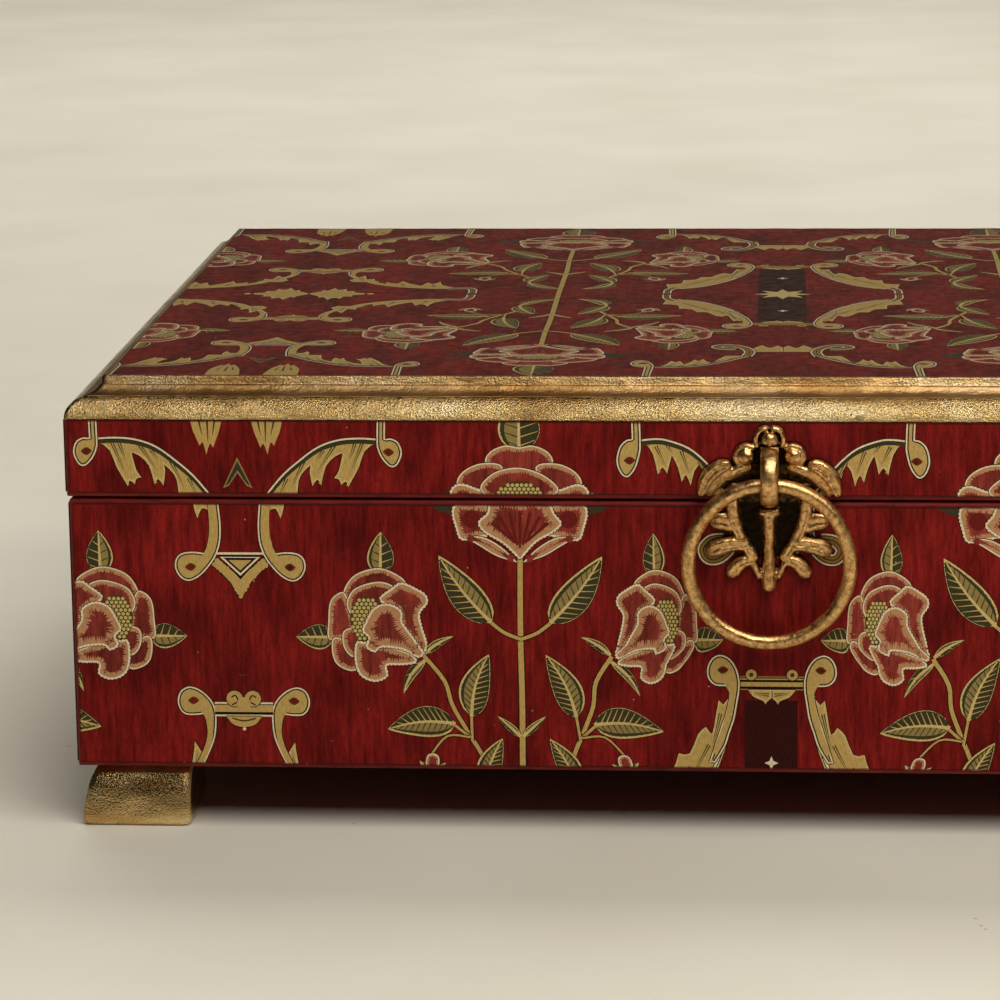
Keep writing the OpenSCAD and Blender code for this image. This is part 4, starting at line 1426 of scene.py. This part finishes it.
def pull_plate():
    half = [blade([
        (2.2, 11.6, 0.8), (2.9, 13.6, 0.8), (2.1, 15.5, 0.8), (0, 16.2, 0.8)], 1.7),
        blade([(2.9, 11.3, 0.7), (4.6, 12.3, 0.8), (6.6, 11.6, 0.8), (7.2, 9.6, 0.8),
        (6.2, 8, 0.7)], 1.6), blade([(7.8, 8.2, 1.2), (10.4, 7.6, 1.9), (12.8, 5.6, 2),
        (14, 3.2, 1.5), (14.6, 1, 0.8)], 2.2, 0.3), blade([(3.4, 8, 1), (8, 6.4, 1.3),
        (11.4, 3.8, 1.2), (13.2, 1.2, 0.7)], 1.7, 0.2), blade([(7.4, 4, 1.1),
        (7.9, -0.5, 1.5), (7.1, -5, 1.5), (5.2, -9, 1.4), (2.6, -13, 1.4)], 1.9, 0.25),
        blade([(6.4, -6, 1.5), (9.6, -4.4, 2.2), (12.9, -4.2, 1.8)], 1.6, 0.25),
        blade([(4, -9.4, 1.3), (7.6, -9.2, 1.9), (11, -10, 2.1), (13.2, -11.4, 1.6)], 2.1,
        0.3), blade([(3, -12.6, 1.2), (5.8, -13.2, 1.7), (7.6, -15.2, 1.8),
        (8.2, -16.8, 1.4)], 1.9, 0.2), blade([(3.6, -12.6, 0.9), (1.6, -17, 0.9)], 1.5),
        ball(5, 10, 1.2, 1.9, 0.75), ]
    # The two flat webs stand low on the face, so the brass colours them near black as painted
    # shadow between the leaves.
    middle = [ball(0, 13.5, 1.2, 1.9, 0.8), blade([
        (0, 12, 2.4), (0, 9, 2.2)], 1.1), blade([(0, -1.6, 1.6), (0, -5, 1.5),
        (0, -10, 1.25), (0, -15, 1.6), (0, -18.6, 1.8), (0, -19.8, 1.2)], 2.3),
        blade([(-2.6, -2.3, 1.1), (0, -2, 1.3), (2.6, -2.3, 1.1)], 2.4),
        plate_slab([(-7, 8), (-4, 12), (4, 12), (7, 8), (7, 0), (6, -6), (2.4, -12),
        (-2.4, -12), (-6, -6), (-7, 0)], -0.3, 0.4), plate_slab([(-10.6, 4.6), (-6.6, 8.2),
        (6.6, 8.2), (10.6, 4.6), (7.4, 0), (-7.4, 0)], -0.3, 0.5), ]
    cast("pull_plate_cast", mirrored(half) + middle, "lid", 0.2, 3,
         "pull_plate")


def swept_ring(section, path, closed):
    """A section (across, out) swept along frames (spot, side, outward)."""
    verts, faces = [], []
    count = len(section)
    for spot, side, outward in path:
        verts += [spot + side * x + outward * y for x, y in section]
    loops = len(path) if closed else len(path) - 1
    for k in range(loops):
        nxt = (k + 1) % len(path)
        for j in range(count):
            j2 = (j + 1) % count
            faces.append((k * count + j, nxt * count + j,
                          nxt * count + j2, k * count + j2))
    if not closed:
        faces.append(tuple(range(count)))
        faces.append(tuple(range(len(verts) - 1, len(verts) - count - 1, -1)))
    return verts, faces


def pull_ring():
    """The ring: a flat face towards the viewer, and bevels inside and out."""
    low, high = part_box("pull_ring")
    middle = (low + high) / 2
    bar = (high.y - low.y) / 2
    radius = (high.x - low.x) / 2 - bar
    section = [(-0.95, -0.2), (-0.62, -0.74), (-0.2, -0.92), (0.34, -0.9),
               (0.74, -0.6), (0.95, -0.1), (0.86, 0.5), (0.5, 0.86),
               (-0.3, 0.95), (-0.8, 0.55)]
    ring = [(x * bar, y * bar) for x, y in smooth(section, 2)]
    path = []
    steps = 150
    for k in range(steps):
        turn = 2 * math.pi * k / steps
        outward = Vector((math.sin(turn), 0, math.cos(turn)))
        path.append((middle + outward * radius, outward, Vector((0, 1, 0))))
    verts, faces = swept_ring(ring, path, True)
    spine = [spot for spot, _, _ in path]
    for i, vert in enumerate(verts):
        away = vert - spine[i // len(ring)]
        lump = wander(vert, 330, 8) * 0.05 + wander(vert, 900, 2) * 0.03
        verts[i] = vert + away.normalized() * (lump - 0.06) * MM
    new_piece("pull_ring_cast", verts, faces, "ring", "pull_brass",
              cast_brass, "pull_ring")


def pull_eye():
    """The loop that holds the ring, on a block with the threaded shank."""
    low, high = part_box("pull_eye")
    eye_t, half_wide, root, boss_out = 2.8, 1.9, 1.2, 2.6
    outer = (high.z - low.z) / 2 / MM
    middle_t = ((high.z + low.z) / 2 - seam_z) / MM
    radius = outer - eye_t / 2
    depth = (face_y - low.y) / MM - outer
    knee = depth * 0.7
    spine = [(middle_t + radius, root), (middle_t + radius, knee)]
    spine += [(middle_t + z, depth + y)
              for y, z in arc(0, 0, radius, 90, -90, 24)]
    spine += [(middle_t - radius, knee), (middle_t - radius, root)]
    path = []
    for k, (t, out) in enumerate(spine):
        t0, out0 = spine[max(k - 1, 0)]
        t1, out1 = spine[min(k + 1, len(spine) - 1)]
        along = Vector((0, -(out1 - out0), t1 - t0)).normalized()
        across = Vector((1, 0, 0))
        path.append((at_pull(0, t, out), across, across.cross(along)))
    wide, thick = half_wide * MM, eye_t / 2 * MM
    section = [(wide * math.copysign(abs(math.cos(a)) ** 0.75, math.cos(a)),
                thick * math.copysign(abs(math.sin(a)) ** 0.75, math.sin(a)))
               for a in (2 * math.pi * k / 20 for k in range(20))]
    verts, faces = swept_ring(section, path, False)
    for i, vert in enumerate(verts):
        lump = wander(vert, 500, 4) * 0.06 * MM
        verts[i] = vert + Vector((0, -lump, lump))
    base_low = at_pull(-half_wide, middle_t - outer, boss_out)
    base_high = at_pull(half_wide, middle_t + outer, 0.2)
    first = len(verts)
    xs, ys, zs = ((base_low[k], base_high[k]) for k in range(3))
    verts += [Vector((x, y, z)) for x in xs for y in ys for z in zs]
    faces += [tuple(first + k for k in face) for face in
              ((0, 1, 3, 2), (4, 6, 7, 5), (0, 4, 5, 1), (2, 3, 7, 6),
               (0, 2, 6, 4), (1, 5, 7, 3))]
    shank_parts = shank()
    first = len(verts)
    verts += shank_parts[0]
    faces += [tuple(first + k for k in face) for face in shank_parts[1]]
    new_piece("pull_eye_cast", verts, faces, "lid", "pull_brass", cast_brass,
              "pull_eye")


def shank():
    """The threaded shank that runs through the rail to its nut."""
    low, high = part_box("pull_eye")
    middle_t = ((high.z + low.z) / 2 - seam_z) / MM
    radius, pitch, thread_h, around = 1.5, 0.5, 0.12, 20
    reach = (high.y - face_y) / MM
    start = 1.4
    steps = round((reach + start) / pitch * 4)
    verts = []
    for k in range(steps + 1):
        out = start - (reach + start) * k / steps
        for j in range(around):
            spin = 2 * math.pi * j / around
            thread = thread_h * math.sin(2 * math.pi * out / pitch + spin)
            r = radius - thread_h + thread
            verts.append(at_pull(r * math.cos(spin),
                                 middle_t + r * math.sin(spin), out))
    faces = tube_faces(steps + 1, around)
    return verts, [face[:1] + face[:0:-1] for face in faces]


pull_plate()
pull_ring()
pull_eye()


# The stage: a wide pale floor that curves up into a wall far behind

def staged(name, verts, faces, material):
    mesh = bpy.data.meshes.new(name)
    mesh.from_pydata(verts, [], faces)
    mesh.materials.append(material)
    obj = bpy.data.objects.new(name, mesh)
    bpy.context.scene.collection.objects.link(obj)
    for face in mesh.polygons:
        face.use_smooth = True


def backdrop():
    """A wide pale floor that bends up into a wall, far from the box."""
    bend = 0.8
    wall_y = 3.4
    half_wide = 3.4
    line = [(-half_wide, 0.0), (wall_y - bend, 0.0)]
    for k in range(1, 13):
        turn = math.pi / 2 * k / 12
        line.append((wall_y - bend + bend * math.sin(turn),
                     bend - bend * math.cos(turn)))
    line.append((wall_y, 2.2))
    verts = [(x, y, z) for y, z in line for x in (-half_wide, half_wide)]
    faces = [(2 * k, 2 * k + 1, 2 * k + 3, 2 * k + 2)
             for k in range(len(line) - 1)]
    staged("floor_and_wall", verts, faces,
           plaster_material("pale_board", paint(217, 211, 195),
                            paint(209, 202, 185)))


backdrop()


# Lamps, camera and world

def soft_lamp(name, spot, target, size, power, tint=(1, 0.97, 0.92)):
    """A soft lamp: a disc, or a rectangle if its size is a pair."""
    data = bpy.data.lights.new(name, "AREA")
    if isinstance(size, tuple):
        data.shape = "RECTANGLE"
        data.size, data.size_y = size
    else:
        data.shape = "DISK"
        data.size = size
    data.energy = power
    data.color = tint
    lamp = bpy.data.objects.new(name, data)
    bpy.context.scene.collection.objects.link(lamp)
    lamp.location = spot
    aim = Vector(target) - Vector(spot)
    lamp.rotation_euler = aim.to_track_quat("-Z", "Y").to_euler()
    return lamp


soft_lamp("key", (0.42, -0.74, 1.05), (0.42, -0.739, 0), (1.0, 1.1), 16.5,
          (1, 0.985, 0.955))
far_lamp = soft_lamp("far_light", (0.1, 1.35, 1.6), (0.1, 1.351, 0), (2.4, 1.5),
                     40, (1, 0.985, 0.955))
far_lamp.visible_glossy = False
soft_lamp("front_fill", (-0.1, -1.1, 1.7), (0, -0.1, 0.05), 0.7, 1)

world = bpy.data.worlds.new("studio")
bpy.context.scene.world = world
world.use_nodes = True
background = world.node_tree.nodes["Background"]
background.inputs["Color"].default_value = (0.95, 0.93, 0.88, 1)
background.inputs["Strength"].default_value = 0.03


def make_camera():
    """The photograph's viewing angle: from the left of the middle, above."""
    yaw = math.radians(4.242)
    pitch = math.radians(12.627)
    roll = math.radians(-0.653)
    focal_px = 3800
    image_px = 1000
    level = Vector((math.cos(yaw), math.sin(yaw), 0))
    forward = Vector((-math.sin(yaw) * math.cos(pitch),
                      math.cos(yaw) * math.cos(pitch), -math.sin(pitch)))
    raised = level.cross(forward)
    right = level * math.cos(roll) + raised * math.sin(roll)
    up = raised * math.cos(roll) - level * math.sin(roll)
    data = bpy.data.cameras.new("camera")
    data.sensor_width = 36
    data.lens = data.sensor_width * focal_px / image_px
    data.clip_start = 0.05
    camera = bpy.data.objects.new("camera", data)
    bpy.context.scene.collection.objects.link(camera)
    turned = Matrix((right, up, -forward)).transposed().to_4x4()
    spot = (0.0012, face_y - 0.7902, 0.2516)
    camera.matrix_world = Matrix.Translation(spot) @ turned
    bpy.context.scene.camera = camera


make_camera()
bpy.context.scene.view_settings.view_transform = "Standard"
